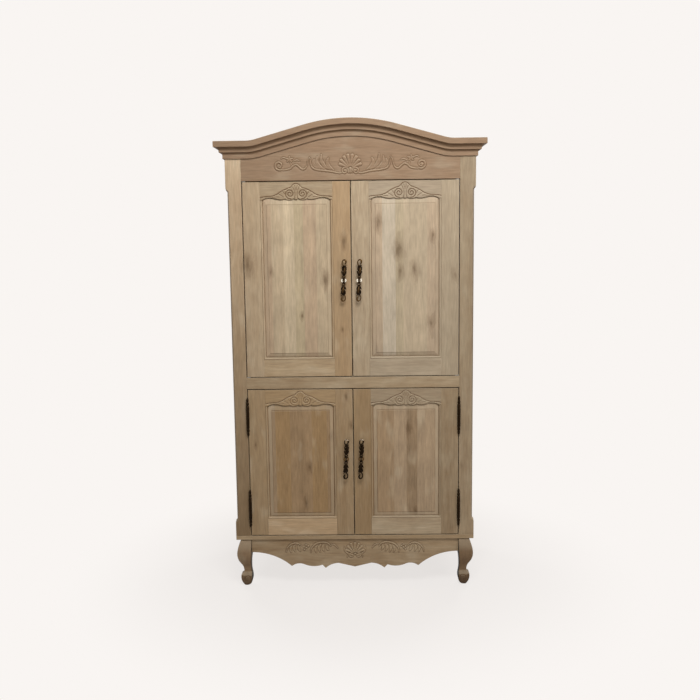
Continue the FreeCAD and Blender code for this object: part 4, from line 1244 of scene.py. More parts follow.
# %% Apron carving
def apron_strokes():
    """Strokes and veins in millimetres, from the middle and from the apron's upper edge."""
    half = [
        stroke(spiral((17, -86), 12, 4, 1.25, 100, -1), [3.6, 3.4, 2.6], 2.2),
        berry(17, -86, 3.4, 2.6),
        stroke([(38, -97), (34, -79), (48, -65), (52, -43)], [1.6, 3.4, 3.0, 1.4], 1.8),
        stroke([(118, -39), (136, -23), (166, -20), (196, -31), (214, -53), (216, -71)],
               [2.0, 4.2, 4.8, 4.2, 2.0], 2.3),
        stroke([(262, -35), (286, -23), (312, -29), (332, -49), (338, -69)], [2.0, 4.0, 4.4, 3.8, 1.8], 2.3),
        stroke([(84, -49), (100, -33), (118, -29)], [1.6, 3.8, 1.6], 1.8),
    ]
    ribs = [((150, -29), (158, -47), (150, -67)), ((166, -28), (177, -47), (170, -71)),
            ((182, -33), (194, -51), (190, -73)), ((136, -33), (138, -47), (130, -61)),
            ((292, -31), (300, -47), (292, -67)), ((308, -35), (317, -51), (312, -71)),
            ((276, -35), (276, -49), (268, -65))]
    half += [stroke(rib, [2.0, 6.4, 5.4, 1.6], 2.1) for rib in ribs]
    half += [berry(x, z, 4.8, 2.4) for x, z in ((240, -33), (250, -43), (238, -47), (248, -57), (228, -39))]
    shell = fan((0, -77), range(-66, 67, 22), 9, 58, 2.2, 7.0, 2.5)
    strokes, veins = both_halves(half, ribs)
    return strokes + shell + [berry(0, -79, 5.6, 2.8)], veins


APRON_COLUMN = 1.6 * MM
APRON_ROWS = np.concatenate([[0, 0.004, 0.009], np.linspace(0.02, 0.98, 74), [0.992, 1.0]])
APRON_SINK = 0.8 * MM
# strength of the painted shade in the apron's recesses
APRON_RECESS_SHADE = 0.65


def apron():
    """The board between the front legs, whose lower edge follows its solid."""
    low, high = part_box("front_apron")
    strokes, lines = apron_strokes()
    edge_x, edge_z = outline("front_apron", False)
    columns = spaced((low.x, high.x), APRON_COLUMN, edge_x)
    bottom = np.interp(columns, edge_x, edge_z)
    top = np.full(len(columns), high.z)
    return carved_board("front_apron", columns, bottom, top, APRON_ROWS, low.y,
                        lambda points: relief(points - (0, high.z), strokes, lines, APRON_SINK),
                        [(high.y, top), (high.y, bottom)], washed[LEVEL], APRON_RECESS_SHADE)


print("apron faces:", len(apron().data.polygons))

# %% [markdown]
# ## Door frames
# A door is two stiles, two rails and a panel. The inner edge of the frame is moulded with a bead, which a
# joiner calls the sticking. The solids have a plain slope there: cutting them along the slope and moving
# the cut lines to the bead's profile gives the moulding, and keeps the mitres at the corners true.

# %% Profile of the sticking
STICKING = 11 * MM
STICKING_DEPTH = 6 * MM
QUIRK_DEPTH, QUIRK_PLACE, QUIRK_WIDTH = 1.9 * MM, 0.10, 0.075   # place and width in shares of the sticking
BEAD_START, BEAD_ROLL = 0.22, 2.2


def sticking_depth(share):
    """Depth of the moulding over its width: a narrow quirk beside the flat, then a bead that rolls in."""
    quirk = QUIRK_DEPTH * bell(share, QUIRK_PLACE, QUIRK_WIDTH)
    rolled = np.clip((share - BEAD_START) / (1 - BEAD_START), 0, 1)
    roll = STICKING_DEPTH * (1 - np.sqrt(np.clip(1 - rolled ** BEAD_ROLL, 0, 1)))
    return quirk * (share > 0) + roll


test_share = np.linspace(0, 1, 5)
print("depth of the sticking, mm:", [round(float(d), 2) for d in sticking_depth(test_share) / MM])

# %% The four doors
DOOR_FLAT = 82 * MM


class Door:
    """Places on one door that its pieces share."""

    def __init__(self, tier, side, sign):
        self.tier, self.side, self.sign = tier, side, sign
        hinge_low, hinge_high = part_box(f"{tier}_{side}_hinge_stile")
        lock_low, lock_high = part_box(f"{tier}_{side}_lock_stile")
        self.x_lock = min(abs(lock_low.x), abs(lock_high.x))
        self.x_hinge = max(abs(hinge_low.x), abs(hinge_high.x))
        self.z0, self.z1 = hinge_low.z, hinge_high.z
        self.y0, self.y1 = lock_low.y, lock_high.y
        self.flat = (self.x_lock + DOOR_FLAT, self.x_hinge - DOOR_FLAT)
        self.z_flat = self.z0 + DOOR_FLAT
        self.z_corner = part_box(f"{tier}_{side}_top_rail")[0].z
        self.body = f"{tier}_{side}_door"

    def node(self, piece):
        """Name of the solid of one of the door's pieces."""
        return f"{self.tier}_{self.side}_{piece}"

    def share(self, x, z):
        """How far a point is over the sticking, from the flat (0) to the panel (1)."""
        inward = np.minimum(abs(x) - self.flat[0], self.flat[1] - abs(x))
        return np.minimum(inward, z - self.z_flat) / STICKING


doors = [Door(tier, side, sign) for tier in ("upper", "lower") for side, sign in SIDES]
for door in doors:
    print(door.body, "from", round(door.z0, 3), "to", round(door.z1, 3), "m")

# %% Stiles and bottom rails
STICKING_CUTS = (0.07, 0.15, 0.26, 0.38, 0.50, 0.62, 0.73, 0.83, 0.92)
# width of the painted shade in the quirk
QUIRK_SHADE_WIDTH = 0.07
STICKING_INNER_SHADE, STICKING_INNER_SHADE_WIDTH = 0.8, 0.1       # painted shade beside the panel
RUBBED_PLACE, RUBBED_WIDTH = 0.45, 0.22         # where hands rub the bead
LEVEL_GAP_SHADE, UPRIGHT_GAP_SHADE = 1.0, 0.3   # painted shade on a door's edges in the gaps around it
ON_SLOPE = 0.05 * MM                            # how near the slope a corner has to be to belong to it
SHARE_SLACK = 0.001                             # share past the panel's edge that still counts as on it
STICKING_SPARED = -0.01                         # share from which no edge is rounded
CUT_SLACK = 0.001 * MM                          # corners this near a cut are taken to lie on it
GAP_DEPTHS = (0.9 * EDGE_ROUND, 1.1 * EDGE_ROUND)   # of corners where a rounded edge meets a door's side


def moulded(door, piece, material):
    """A stile or bottom rail with its moulded inner edge."""
    node = door.node(piece)
    bm = sewn_copy(node)
    planes = []
    for cut in STICKING_CUTS:
        planes += [((door.sign * (door.flat[0] + cut * STICKING), 0, 0), (1, 0, 0)),
                   ((door.sign * (door.flat[1] - cut * STICKING), 0, 0), (1, 0, 0)),
                   ((0, 0, door.z_flat + cut * STICKING), (0, 0, 1))]
    for place, normal in planes:
        bmesh.ops.bisect_plane(bm, geom=bm.verts[:] + bm.edges[:] + bm.faces[:], dist=CUT_SLACK,
                               plane_co=place, plane_no=normal)
    hollow = bm.verts.layers.float.new("hollow")
    ridge = bm.verts.layers.float.new("edge")
    for vert in bm.verts:
        share = door.share(vert.co.x, vert.co.z)
        if 0 < share <= 1 + SHARE_SLACK and abs(vert.co.y - door.y0 - share * STICKING_DEPTH) < ON_SLOPE:
            vert.co.y = door.y0 + sticking_depth(share)
            # painted shade in the quirk and beside the panel
            inner = max(0.0, share - (1 - STICKING_INNER_SHADE_WIDTH)) / STICKING_INNER_SHADE_WIDTH
            vert[hollow] = bell(share, QUIRK_PLACE, QUIRK_SHADE_WIDTH) + STICKING_INNER_SHADE * inner
            vert[ridge] = bell(share, RUBBED_PLACE, RUBBED_WIDTH)
    round_edges(bm, spare=lambda vert: door.share(vert.co.x, vert.co.z) > STICKING_SPARED)
    # painted shade on the door's sides where they face the gaps
    for vert in bm.verts:
        if GAP_DEPTHS[0] < vert.co.y - door.y0 < GAP_DEPTHS[1]:
            level_edge = min(vert.co.z - door.z0, door.z1 - vert.co.z) < EDGE_ROUND
            vert[hollow] = LEVEL_GAP_SHADE if level_edge else UPRIGHT_GAP_SHADE
    return stand_in(node, to_mesh(bm, node + "_finished"), material)


print("the sticking is cut along", len(STICKING_CUTS), "lines")

# %% [markdown]
# ### Top rails with their crests
# The lower edge of a top rail rises beside the corners, dips under two scrolls and ends in a small drop.
# Above it a crest is carved: thin wings that grow out of the sticking, two scrolls back to back, and a
# palmette with a knob. The crest is a pillow between two lines, and its scrolls and ribs are cut into it.

# %% Drawing of a crest
CREST_LOW = (((0, -1.5), (11, 0.5), (22, 6.5), (36, 10.5), (54, 10.5), (74, 6), (92, 2.2), (106, 2.4),
              (117, 6)),
             ((117, 6), (124, 2.2), (140, 0.4), (152, 2.8), (159, 8)),
             ((159, 8), (163, 2.4), (168.25, 0.2)))
CREST_TOP = (((0, 10), (14, 13), (34, 15), (56, 17), (79, 25), (97, 36.5), (113, 45), (128, 51), (142, 55.5)),
             ((142, 55.5), (148, 61), (154, 67.5), (161, 72.5), (168.25, 74)))
CREST_SCROLL = ((29, 28), 24, 4.5, 1.75, 262, 1)   # centre, outer and inner radius, turns, start and hand
CREST_RIBS = (((112, 11), (96, 14), (80, 14)), ((66, 42), (58, 36), (52, 27)), ((84, 27), (72, 23), (58, 14)),
              ((52, 48), (46, 46), (38, 46)), ((3, 44), (4, 58), (7, 68)), ((8, 44), (12, 54), (15, 60)),
              ((0, 46), (0, 58), (0, 70)), ((6, 40), (5, 24), (7, 9)))
CREST_RISE, CREST_ROUND = 2.1 * MM, 5.0            # height of the pillow, and millimetres to its full height
CREST_TRENCH, TRENCH_OUT, TRENCH_HALF = 2.0 * MM, -1.6, 2.1   # depth, place and width of the cut around it
LIP_DEPTH, LIP_WIDTH = 1.6 * MM, 4.0               # the lower edge falls back like the sticking
SCROLL_CUT, RIB_CUT = (2.9 * MM, 2.7 * MM), (1.8 * MM, 1.4 * MM)   # width and depth
CREST_BEADS = (berry(29, 28, 4.2, 0.9), stroke([(0, 6), (0, 12)], [3.2, 4.0], 0.8),
               stroke([(0, 62), (0, 70)], [6.5, 5.0], 0.9))


def edge_height(runs, u):
    """Height of an edge that is drawn in a few smooth runs, over the distance from the door's side."""
    line = np.vstack([smooth_line(run, 0.5) for run in runs])
    return np.interp(u, line[:, 0], line[:, 1])


crest_middle = CREST_TOP[-1][-1][0]
print("a crest is", round(float(edge_height(CREST_TOP, crest_middle)), 1), "mm high in the middle")

# %% Top rails
LOWER_CREST_HEIGHT = 0.96          # the lower doors have a shorter crest, cut less deep
LOWER_CREST_CUT = 0.8
CREST_FOOT = 14.0                  # below this height all crests are alike
# strength of the painted shade in a crest's recesses
CREST_RECESS_SHADE = 1.6
RAIL_COLUMN = 1.35 * MM
RAIL_ROWS = np.concatenate([[0, 0.008, 0.018], np.linspace(0.03, 0.97, 62), [0.984, 1.0]])
GROOVE_FRONT, GROOVE_BACK, GROOVE_TOP = 6 * MM, 16 * MM, 21 * MM   # of the panel's groove in a top rail


def top_rail(door):
    """A top rail with its crest and its curved lower edge."""
    node = door.node("top_rail")
    low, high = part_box(node)
    middle = 0.5 * (low.x + high.x)
    half = 0.5 * (high.x - low.x) / MM
    tall = 1.0 if door.tier == "upper" else LOWER_CREST_HEIGHT
    crisp = 1.0 if door.tier == "upper" else LOWER_CREST_CUT

    def from_corner(x):
        return half - np.abs(x - middle) / MM

    def height_at(points):
        u = from_corner(points[:, 0])
        v = (points[:, 1] - door.z_corner) / MM
        v = np.where(v > CREST_FOOT, CREST_FOOT + (v - CREST_FOOT) / tall, v)
        slope = (edge_height(CREST_TOP, u + 1) - edge_height(CREST_TOP, u - 1)) / 2
        inside = (edge_height(CREST_TOP, u) - v) / np.sqrt(1 + slope ** 2)
        climb = np.clip(1 - inside / CREST_ROUND, 0, 1)
        pillow = CREST_RISE * np.sqrt(np.clip(1 - climb ** 2, 0, 1)) * (inside > 0)
        trench = CREST_TRENCH * crisp * bell(inside, TRENCH_OUT, TRENCH_HALF)
        lip = LIP_DEPTH * np.clip(1 - (v - edge_height(CREST_LOW, u)) / LIP_WIDTH, 0, 1) ** 2
        at = np.column_stack([half - u, v]) * MM
        lines = cut_lines(at, [spiral(*CREST_SCROLL)], *SCROLL_CUT) + cut_lines(at, CREST_RIBS, *RIB_CUT)
        beads, _ = raised(at, CREST_BEADS)
        return pillow - trench - lip - lines * crisp * (inside > 0) + beads

    columns = spaced((low.x, high.x), RAIL_COLUMN)
    bottom = door.z_corner + edge_height(CREST_LOW, from_corner(columns)) * MM
    top = np.full(len(columns), high.z)
    groove_top = np.full(len(columns), door.z_corner + GROOVE_TOP)
    back = [(high.y, top), (high.y, bottom), (low.y + GROOVE_BACK, bottom), (low.y + GROOVE_BACK, groove_top),
            (low.y + GROOVE_FRONT, groove_top), (low.y + GROOVE_FRONT, bottom)]
    return carved_board(node, columns, bottom, top, RAIL_ROWS, low.y, height_at, back, washed[LEVEL],
                        CREST_RECESS_SHADE * crisp ** 3)


print("the face of a top rail has", len(RAIL_ROWS), "rows of points")

# %% Panels and the doors put together
PANEL_TOP_BEVEL = 35 * MM
PANEL_TOP_RISE = 13 * MM
PANEL_GROOVE = 8 * MM
PANEL_PLAY = 0.3 * MM          # between the tongue and the end of its groove
PANEL_BACK = 15.75 * MM
# painted highlight: how far each tier's panel bevels are painted paler
BEVEL_HIGHLIGHT = {"upper": 0.35, "lower": 1.2}


def door_panel(door):
    """The raised panel of a door, whose top is hidden behind the top rail."""
    node = door.node("panel")
    low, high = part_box(node)
    corner = (low.x + PANEL_GROOVE, low.z + PANEL_GROOVE)
    other = (high.x - PANEL_GROOVE, door.z_corner + PANEL_TOP_RISE)
    mesh = raised_panel(node, lambda across, up, depth: (across, door.y0 + depth, up), corner, other,
                        (PANEL_BEVEL, PANEL_BEVEL, PANEL_BEVEL, PANEL_TOP_BEVEL), PANEL_GROOVE - PANEL_PLAY,
                        (PANEL_TONGUE_DEPTH, PANEL_FIELD_DEPTH), PANEL_BACK, BEVEL_HIGHLIGHT[door.tier])
    return stand_in(node, mesh, washed_panel[node])


for door in doors:
    for piece, grain in (("hinge_stile", UPRIGHT), ("lock_stile", UPRIGHT), ("bottom_rail", LEVEL)):
        moulded(door, piece, washed[grain])
    rail = top_rail(door)
    door_panel(door)
    print(door.body, "top rail faces:", len(rail.data.polygons))

# %% [markdown]
# ## Cabriole legs
# A cabriole leg is sawn from a square blank along one curve on two faces, and then the carver rounds its
# corners and cuts a scroll into the toe. The solid has the saw cuts. Remeshing it in small cells and
# smoothing it does the rounding, and then the scroll is pressed into the faces of the toe.

# %% Rounding a solid
def plain_mesh(holder):
    """What an object's modifiers make, as a mesh of its own; the object is taken away."""
    evaluated = holder.evaluated_get(bpy.context.evaluated_depsgraph_get())
    made = bpy.data.meshes.new_from_object(evaluated)
    bpy.data.objects.remove(holder)
    return made


def remeshed(mesh, cell, smoothing):
    """The same closed form in even small faces, with its corners rounded."""
    holder = new_object("blank", mesh)
    cells = holder.modifiers.new("cells", "REMESH")
    cells.mode = "VOXEL"
    cells.voxel_size = cell
    smooth = holder.modifiers.new("smooth", "SMOOTH")
    smooth.iterations = smoothing
    return plain_mesh(holder)


def set_corners(mesh, co):
    """Move a mesh's corners to new places."""
    mesh.vertices.foreach_set("co", co.astype(np.float32).ravel())
    mesh.update()


print("a leg's solid has", len(frame["nodes"]["front_left_leg"].data.polygons), "triangles")

# %% Legs
LEG_CELL = 1.7 * MM
LEG_SMOOTHING = 12
LEG_SMOOTH = math.radians(60)
LEG_INNER_SHADE = 0.6    # painted shade on the faces turned in and back
FOOT_HEIGHT = 70 * MM    # below this the leg is made darker towards the floor
FOOT_SHADE = 0.32
TOE_WIDTH, TOE_DEPTH = 1.9 * MM, 2.2 * MM
TOE_LINE = ((49, 57), (49, 34), (42, 12), (29, 8), (12, 18), (8, 38), (17, 52), (31, 50), (38, 38), (32, 27),
            (22, 30))


def leg(node, sign, front):
    """A leg with rounded corners and the scroll of its toe on the faces that show."""
    bm = sewn_copy(node)
    bmesh.ops.triangulate(bm, faces=bm.faces)
    name = node + "_carved"
    mesh = remeshed(to_mesh(bm, name + "_blank"), LEG_CELL, LEG_SMOOTHING)
    mesh.name = name
    low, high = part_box(node)
    co = corners_of(mesh)
    normals = np.array([v.normal for v in mesh.vertices])
    out = np.abs(co[:, 0]) - min(abs(low.x), abs(high.x))
    faces = [(np.column_stack([out, co[:, 2]]), np.clip(-normals[:, 1], 0, 1))]
    if front:
        faces.append((np.column_stack([high.y - co[:, 1], co[:, 2]]), np.clip(sign * normals[:, 0], 0, 1)))
    # painted shade in the cut of the toe's scroll
    hollow = np.zeros(len(co))
    for at, facing in faces:
        cut = cut_lines(at, [TOE_LINE], TOE_WIDTH, TOE_DEPTH) * facing ** 2
        co -= normals * cut[:, None]
        hollow = np.maximum(hollow, cut / TOE_DEPTH)
    foot, top = co[:, 2].min(), co[:, 2].max()
    co[:, 2] = low.z + (co[:, 2] - foot) * (high.z - low.z) / (top - foot)
    set_corners(mesh, co)
    mark(mesh, "hollow", np.clip(hollow, 0, 1))
    piece = stand_in(node, mesh, washed_leg, smooth_angle=LEG_SMOOTH)
    # painted shade on the faces turned in and back, and darker towards the floor
    unseen = np.maximum(np.clip(-sign * normals[:, 0], 0, 1), np.clip(normals[:, 1], 0, 1))
    low_down = np.clip(1 - co[:, 2] / FOOT_HEIGHT, 0, 1) ** 0.5
    mark(mesh, "shade", SHADES.get(node, (0, 0))[0] - LEG_INNER_SHADE * unseen - FOOT_SHADE * low_down)
    return piece


for side, sign in SIDES:
    for row in ("front", "rear"):
        made = leg(f"{row}_{side}_leg", sign, row == "front")
        print(made.name, len(made.data.polygons), "faces")

# %% [markdown]
# ## Cast pulls
# The pulls are openwork castings: a ring with a stem through it, an eye above and below, a clump of
# leaves, and a hook at each end, the lower half being the upper half turned round. Each of these is a
# tapering rod along a curve. All rods are put together, and remeshing melts them into one casting, with
# the soft inner corners that a casting has. It is made once and set on each door.

# %% Rods
ROD_STEP, ROD_SIDES = 1.5, 12
NEARLY_FORWARD = 0.95         # past this a rod points out of the door, and any side of it will do
OVAL_POINTS = 25


def add_rod(bm, path, radii):
    """Closed tapering rod along a smooth curve, rounded at both ends."""
    path = smooth_line(path, ROD_STEP)
    half = np.interp(np.linspace(0, 1, len(path)), np.linspace(0, 1, len(radii)), radii)
    tangents = np.gradient(path, axis=0)
    rings = []
    for point, tangent, radius in zip(path, tangents, half):
        tangent = Vector(tangent).normalized()
        side = tangent.orthogonal() if abs(tangent.y) > NEARLY_FORWARD else tangent.cross(Vector((0, 1, 0)))
        side.normalize()
        other = tangent.cross(side)
        turns = np.arange(ROD_SIDES) * (2 * math.pi / ROD_SIDES)
        spokes = [(math.cos(turn) * side + math.sin(turn) * other) * float(radius) for turn in turns]
        rings.append([bm.verts.new(Vector(point) + spoke) for spoke in spokes])
    for ring, following in zip(rings, rings[1:]):
        for k in range(ROD_SIDES):
            bm.faces.new((ring[k - 1], ring[k], following[k], following[k - 1]))
    for ring in (rings[0][::-1], rings[-1]):
        bm.faces.new(ring)
    for point, radius in ((path[0], half[0]), (path[-1], half[-1])):
        end = Matrix.Translation(Vector(point))
        bmesh.ops.create_icosphere(bm, subdivisions=2, radius=radius, matrix=end)


def oval(centre, across, upright):
    """Points of a closed ring in the plane of the door."""
    turn = np.linspace(0, 2 * math.pi, OVAL_POINTS)
    return np.column_stack([centre[0] + across * np.cos(turn), np.zeros(OVAL_POINTS),
                            centre[1] + upright * np.sin(turn)])


print("a ring is drawn through", OVAL_POINTS, "points, and a rod has", ROD_SIDES, "sides")

# %% The casting
PULL_STANDOFF = 20 * MM
PULL_CELL = 0.85 * MM
PULL_SMOOTHING = 3
PULL_POST = 62.0              # millimetres from the middle of the pull
ROSETTE_RADIUS = 7.2          # of the little petals around the foot of a post
TURNED_ROUND = (-1, 1, -1)    # the lower half of a pull is its upper half turned round


def pull_rods():
    """Curves (x, y, z) and radii in millimetres about the middle of the grip, for the upper half."""
    return [
        (oval((0.2, 17.5), 5.8, 6.4), [2.3, 2.7, 2.3]),
        (((0, -1, 25), (6.5, -3, 33), (11, -2, 41)), [4.6, 5.4, 2.4]),
        (((0, -1, 25), (-5.5, -3, 33), (-10.5, -2, 41)), [4.6, 5.0, 2.4]),
        (((0, -2, 27), (3, -5, 44), (4, -3, 62)), [5.0, 7.2, 4.6]),
        (((1, 0, 41), (7, -3, 50), (10.8, -2, 61)), [4.4, 5.4, 2.4]),
        (((-1, 0, 43), (-6, -2, 52), (-8, -1, 61)), [4.4, 4.8, 2.6]),
        (((2, 0, 60), (-3, 0, 68), (-8.5, 0, 77), (-8.5, 0, 87), (-4.5, 0, 94)), [4.0, 3.0, 2.6, 2.8, 3.2]),
        (((-5, 0, 94), (1, -1, 96), (7, -2, 92.5), (8.8, -3, 85), (6, -3, 77)), [2.6, 3.8, 4.6, 4.4, 3.2]),
        (((4, 0, 62), (8, -1, 67), (11, -1, 72)), [2.8, 2.2, 1.4]),
        (((0, 0, PULL_POST), (0, PULL_STANDOFF / MM - 2, PULL_POST)), [4.0, 3.8, 4.6]),
    ]


def pull_mesh():
    """The whole casting about the middle of its grip."""
    bm = bmesh.new()
    for path, radii in pull_rods():
        points = np.asarray(path, float)
        add_rod(bm, points, radii)
        add_rod(bm, points * TURNED_ROUND, radii)
    add_rod(bm, oval((0, 0), 9.6, 10.4), [4.2, 2.9, 4.2, 2.9, 4.2])
    add_rod(bm, np.array([(0, 0, -14), (0, -1.5, 0), (0, 0, 14)], float), [2.8, 2.0, 2.8])
    foot = PULL_STANDOFF / MM
    for height in (PULL_POST, -PULL_POST):
        for angle in range(0, 360, 45):
            x = ROSETTE_RADIUS * math.cos(math.radians(angle))
            z = ROSETTE_RADIUS * math.sin(math.radians(angle))
            add_rod(bm, np.array([(0, foot - 2.6, height), (x, foot - 1.9, height + z)], float), [2.4, 1.9])
    bmesh.ops.recalc_face_normals(bm, faces=bm.faces)
    bmesh.ops.scale(bm, vec=(MM, MM, MM), verts=bm.verts)
    return remeshed(to_mesh(bm, "pull_casting"), PULL_CELL, PULL_SMOOTHING)


casting = pull_mesh()
form = corners_of(casting)
print("one casting has", len(casting.polygons), "faces and is", np.round(np.ptp(form, axis=0) / MM, 1), "mm")

# %% Wear and painted highlights of the pulls
RING_PLACE, RING_WIDTH, RING_HEIGHT = 9.0, 5.0, 9.0   # millimetres; the middle ring's sides get the painted highlight
HOOK_RUB, HOOK_START, HOOK_FADE = 0.27, 66.0, 4.0
EYE_HEIGHT, EYE_WIDTH = 18.0, 5.0
LEAF_RUB, LEAF_REACH = 0.22, 8.0                      # leaves are rubbed where they reach this far forward
GLINT, GLINT_HEIGHT, GLINT_WIDTH = 0.5, 95.0, 3.5     # the lower pulls get less wear and highlight, and a painted glint at the top
LOWER_RUB_AND_GLINT = 0.45


def rub_and_glint_of(form):
    """How far the casting is rubbed to bronze, or painted near-white as a highlight, at each corner, on the
    upper and on the lower doors.
    """
    before = form[:, 1] < 0
    across, upright = np.abs(form[:, 0]) / MM, np.abs(form[:, 2]) / MM
    ring = np.exp(-((across - RING_PLACE) / RING_WIDTH) ** 4 - (upright / RING_HEIGHT) ** 4)
    hooks = np.clip((upright - HOOK_START) / HOOK_FADE, 0, 1) + bell(upright, EYE_HEIGHT, EYE_WIDTH)
    leaves = LEAF_RUB * np.clip(-form[:, 1] / MM - LEAF_REACH, 0, 1)
    upper = np.maximum(np.maximum(ring, HOOK_RUB * hooks) * before, leaves)
    glint = GLINT * bell(form[:, 2] / MM, GLINT_HEIGHT, GLINT_WIDTH) * before
    return {"upper": upper, "lower": LOWER_RUB_AND_GLINT * upper + glint}


# the shares below count bronze wear and painted highlight together
rubs_and_glints = rub_and_glint_of(form)
print("share of a casting that is polished:", {tier: round(float(p.mean()), 3) for tier, p in rubs_and_glints.items()})

# %% Pulls on the doors
PULL_LEAN = 0.03
CAST_SMOOTH = math.radians(60)
form[:, 0] += PULL_LEAN * form[:, 2]
for door in doors:
    node = door.node("pull")
    low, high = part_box(node)
    mesh = casting.copy()
    mesh.name = node + "_cast"
    place = np.array([0.5 * (low.x + high.x), FRONT - form[:, 1].max(), 0.5 * (low.z + high.z)])
    set_corners(mesh, form + place)
    mark(mesh, "rub", rubs_and_glints[door.tier])
    made = stand_in(node, mesh, dark_iron, smooth_angle=CAST_SMOOTH)
    print(made.name, "at", [round(float(v), 3) for v in place])

# %% [markdown]
# ## Barrel hinges
# The lower doors hang on barrel hinges with turned ends, of the same bronzed metal as the pulls. Their
# solids already have the turned shape, and a bevel would blunt its fine rings, so they are only sewn
# together and shaded smooth, with a faint rub all over.

# %% Hinges on posts and doors
HINGE_RUB = 0.12
for node in ("hinge_frame_halves", "lower_left_hinge_halves", "lower_right_hinge_halves"):
    made = dress(node, dark_iron, radius=0, smooth_angle=FITTING_SMOOTH)
    mark(made.data, "rub", HINGE_RUB)
    print(made.name, len(made.data.polygons), "faces")

# %% [markdown]
# ## Screws by Geometry Nodes
# Small screws repeat all over the inside: along the pocket channels, through the door backs behind the
# pulls, and over the back. A node tree makes one countersunk head with a cross recess and sets a copy on
# every point that it is given, turned by a random angle with a fixed seed, as a person leaves them.

# %% The screw tree
SCREW_SIZES = {"Head Radius": 4.0 * MM, "Head Height": 1.6 * MM, "Slot Width": 1.1 * MM}
SCREW_SEED = 7
SHANK_RADIUS = 2.2 * MM
SLOT_REACH = 1.3      # length of the cross recess, in radii of the head
HEAD_SIDES = 20


def screw_tree():
    """A node tree that sets a screw head on every point."""
    tree = bpy.data.node_groups.new("screw_heads", "GeometryNodeTree")

    def socket(label, kind, way="INPUT"):
        return tree.interface.new_socket(label, in_out=way, socket_type="NodeSocket" + kind)

    socket("Places", "Geometry")
    for label, size in SCREW_SIZES.items():
        socket(label, "Float").default_value = size
    socket("Seed", "Int").default_value = SCREW_SEED
    socket("Finish", "Material")
    socket("Screws", "Geometry", "OUTPUT")

    sheet = NodeSheet(tree)
    given = sheet.add("NodeGroupInput")
    radius, height, width = (given.output(label) for label in SCREW_SIZES)
    cone = {"Vertices": HEAD_SIDES, "Radius Top": radius, "Radius Bottom": SHANK_RADIUS, "Depth": height}
    head = sheet.add("GeometryNodeMeshCone", {"fill_type": "NGON"}, cone, "Mesh")
    cut = sheet.add("GeometryNodeMeshBoolean", {"operation": "DIFFERENCE"}, {"Mesh 1": head}, "Mesh")
    reach = radius * SLOT_REACH
    sunk = sheet.point(0.0, 0.0, height)
    for size in (sheet.point(reach, width, height), sheet.point(width, reach, height)):
        bar = sheet.add("GeometryNodeMeshCube", inputs={"Size": size}, output="Mesh")
        bar = sheet.add("GeometryNodeTransform", inputs={"Geometry": bar, "Translation": sunk})
        tree.links.new(bar.socket, cut.socket.node.inputs["Mesh 2"])
    facing = sheet.add("GeometryNodeInputNamedAttribute", {"data_type": "FLOAT_VECTOR"}, {"Name": "facing"})
    turned = sheet.add("FunctionNodeAlignRotationToVector", {"axis": "Z"}, {"Vector": facing})
    half_turn = {3: math.pi, "Seed": given.output("Seed")}
    spin = sheet.add("FunctionNodeRandomValue", {"data_type": "FLOAT"}, half_turn, 1)
    twist = sheet.add("FunctionNodeEulerToRotation", inputs={"Euler": sheet.point(0.0, 0.0, spin)})
    turned = sheet.add("FunctionNodeRotateRotation", {"rotation_space": "LOCAL"},
                       {"Rotation": turned, "Rotate By": twist})
    set_out = {"Points": given, "Instance": cut, "Rotation": turned}
    heads = sheet.add("GeometryNodeInstanceOnPoints", inputs=set_out)
    heads = sheet.add("GeometryNodeRealizeInstances", inputs={"Geometry": heads})
    finish = {"Geometry": heads, "Material": given.output("Finish")}
    painted = sheet.add("GeometryNodeSetMaterial", inputs=finish)
    sheet.add("NodeGroupOutput", inputs={0: painted})
    return tree


SCREWS = screw_tree()
print("screw tree:", len(SCREWS.nodes), "nodes")

# %% Screws as a piece
def screws(name, body, places, facings, slot, nodes=(), **sizes):
    """Screw heads at given places, each facing its own way, as one plain mesh."""
    points = bpy.data.meshes.new(name + "_places")
    points.from_pydata(places, [], [])
    layer = points.attributes.new("facing", "FLOAT_VECTOR", "POINT")
    layer.data.foreach_set("vector", np.asarray(facings, np.float32).ravel())
    holder = new_object(name + "_places", points)
    modifier = holder.modifiers.new("screws", "NODES")
    modifier.node_group = SCREWS
    inputs = {item.name: item.identifier for item in SCREWS.interface.items_tree if item.in_out == "INPUT"}
    modifier[inputs["Finish"]] = zinc
    for label, value in sizes.items():
        modifier[inputs[label.replace("_", " ")]] = value
    mesh = plain_mesh(holder)
    mesh.name = name
    mesh.materials.clear()
    return add_piece(name, mesh, body, slot, [zinc], nodes)


def islands(node):
    """Middle of each separate solid in a node, in the order of their first corners."""
    bm = sewn_copy(node)
    left = set(bm.verts)
    middles = []
    for first in bm.verts:
        if first not in left:
            continue
        left.remove(first)
        group = [first]
        for vert in group:
            near = {edge.other_vert(vert) for edge in vert.link_edges} & left
            left -= near
            group.extend(near)
        co = np.array([vert.co for vert in group])
        middles.append(0.5 * (co.min(0) + co.max(0)))
    bm.free()
    return middles


print(len(islands("back_screws")), "screws hold the back")

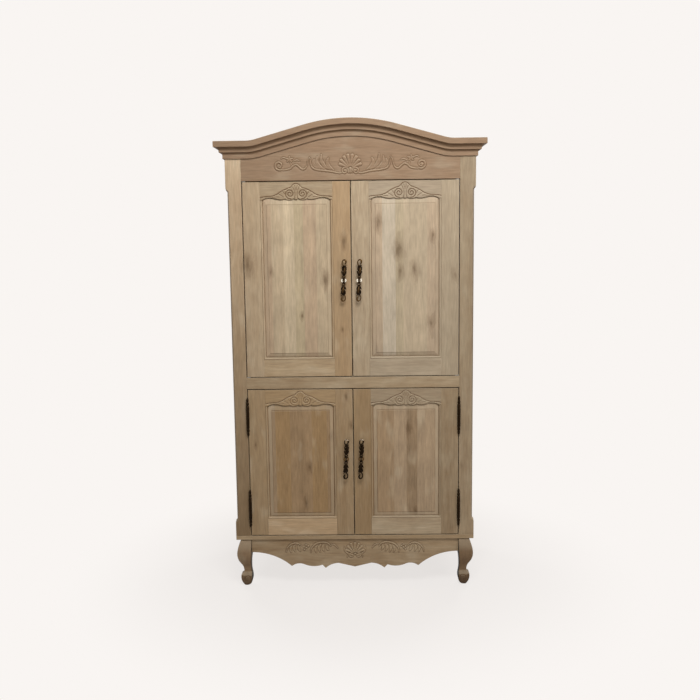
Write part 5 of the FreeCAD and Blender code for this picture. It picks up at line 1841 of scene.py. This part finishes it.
# %% Set the screws
BACKWARDS = (0, 1, 0)
BACK_HEAD = SCREW_SIZES["Head Height"]
CHANNEL_SCREWS = (0.12, 0.5, 0.88)   # shares of the length that takes screws
CHANNEL_WALL = 2.0 * MM
CHANNEL_START, CHANNEL_SPARED = 130 * MM, 150 * MM   # free of screws in front, and at both ends together
CHANNEL_HEAD_HEIGHT, CHANNEL_HEAD_RADIUS = 0.4 * MM, 3.2 * MM
BOLT_RADIUS = 4.6 * MM

back_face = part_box("back_panel")[1].y
back_places = [(m[0], back_face - BACK_HEAD, m[2]) for m in islands("back_screws")]
screws("back_screw_heads", "cabinet", back_places, [BACKWARDS] * len(back_places), "slide_steel",
       ["back_screws"])

channel_places, channel_facings = [], []
channel_low, channel_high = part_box("pocket_channels")
channel_run = channel_high.y - channel_low.y - CHANNEL_SPARED
for middle in islands("pocket_channels"):
    inward = -math.copysign(1.0, middle[0])
    wall = math.copysign(channel_high.x - CHANNEL_WALL, middle[0])
    for share in CHANNEL_SCREWS:
        channel_places.append((wall, channel_low.y + CHANNEL_START + channel_run * share, middle[2]))
        channel_facings.append((inward, 0, 0))
screws("channel_screw_heads", "cabinet", channel_places, channel_facings, "slide_steel",
       Head_Height=CHANNEL_HEAD_HEIGHT, Head_Radius=CHANNEL_HEAD_RADIUS)

for door in doors:
    low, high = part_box(door.node("pull"))
    x = 0.5 * (low.x + high.x)
    z = 0.5 * (low.z + high.z)
    places = [(x, door.y1, z + rise * MM) for rise in (PULL_POST, -PULL_POST)]
    screws(door.body + "_pull_bolts", door.body, places, [BACKWARDS] * 2, "slide_steel",
           Head_Radius=BOLT_RADIUS)
print(len(back_places), "back screws,", len(channel_places), "channel screws,", 2 * len(doors), "pull bolts")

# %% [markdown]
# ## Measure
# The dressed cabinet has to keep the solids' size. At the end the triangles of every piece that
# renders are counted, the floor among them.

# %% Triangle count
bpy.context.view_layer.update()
triangles = sum(len(p.vertices) - 2 for o in bpy.data.objects if o.type == "MESH" and not o.hide_render
                for p in o.data.polygons)
print("triangles with the floor:", triangles)
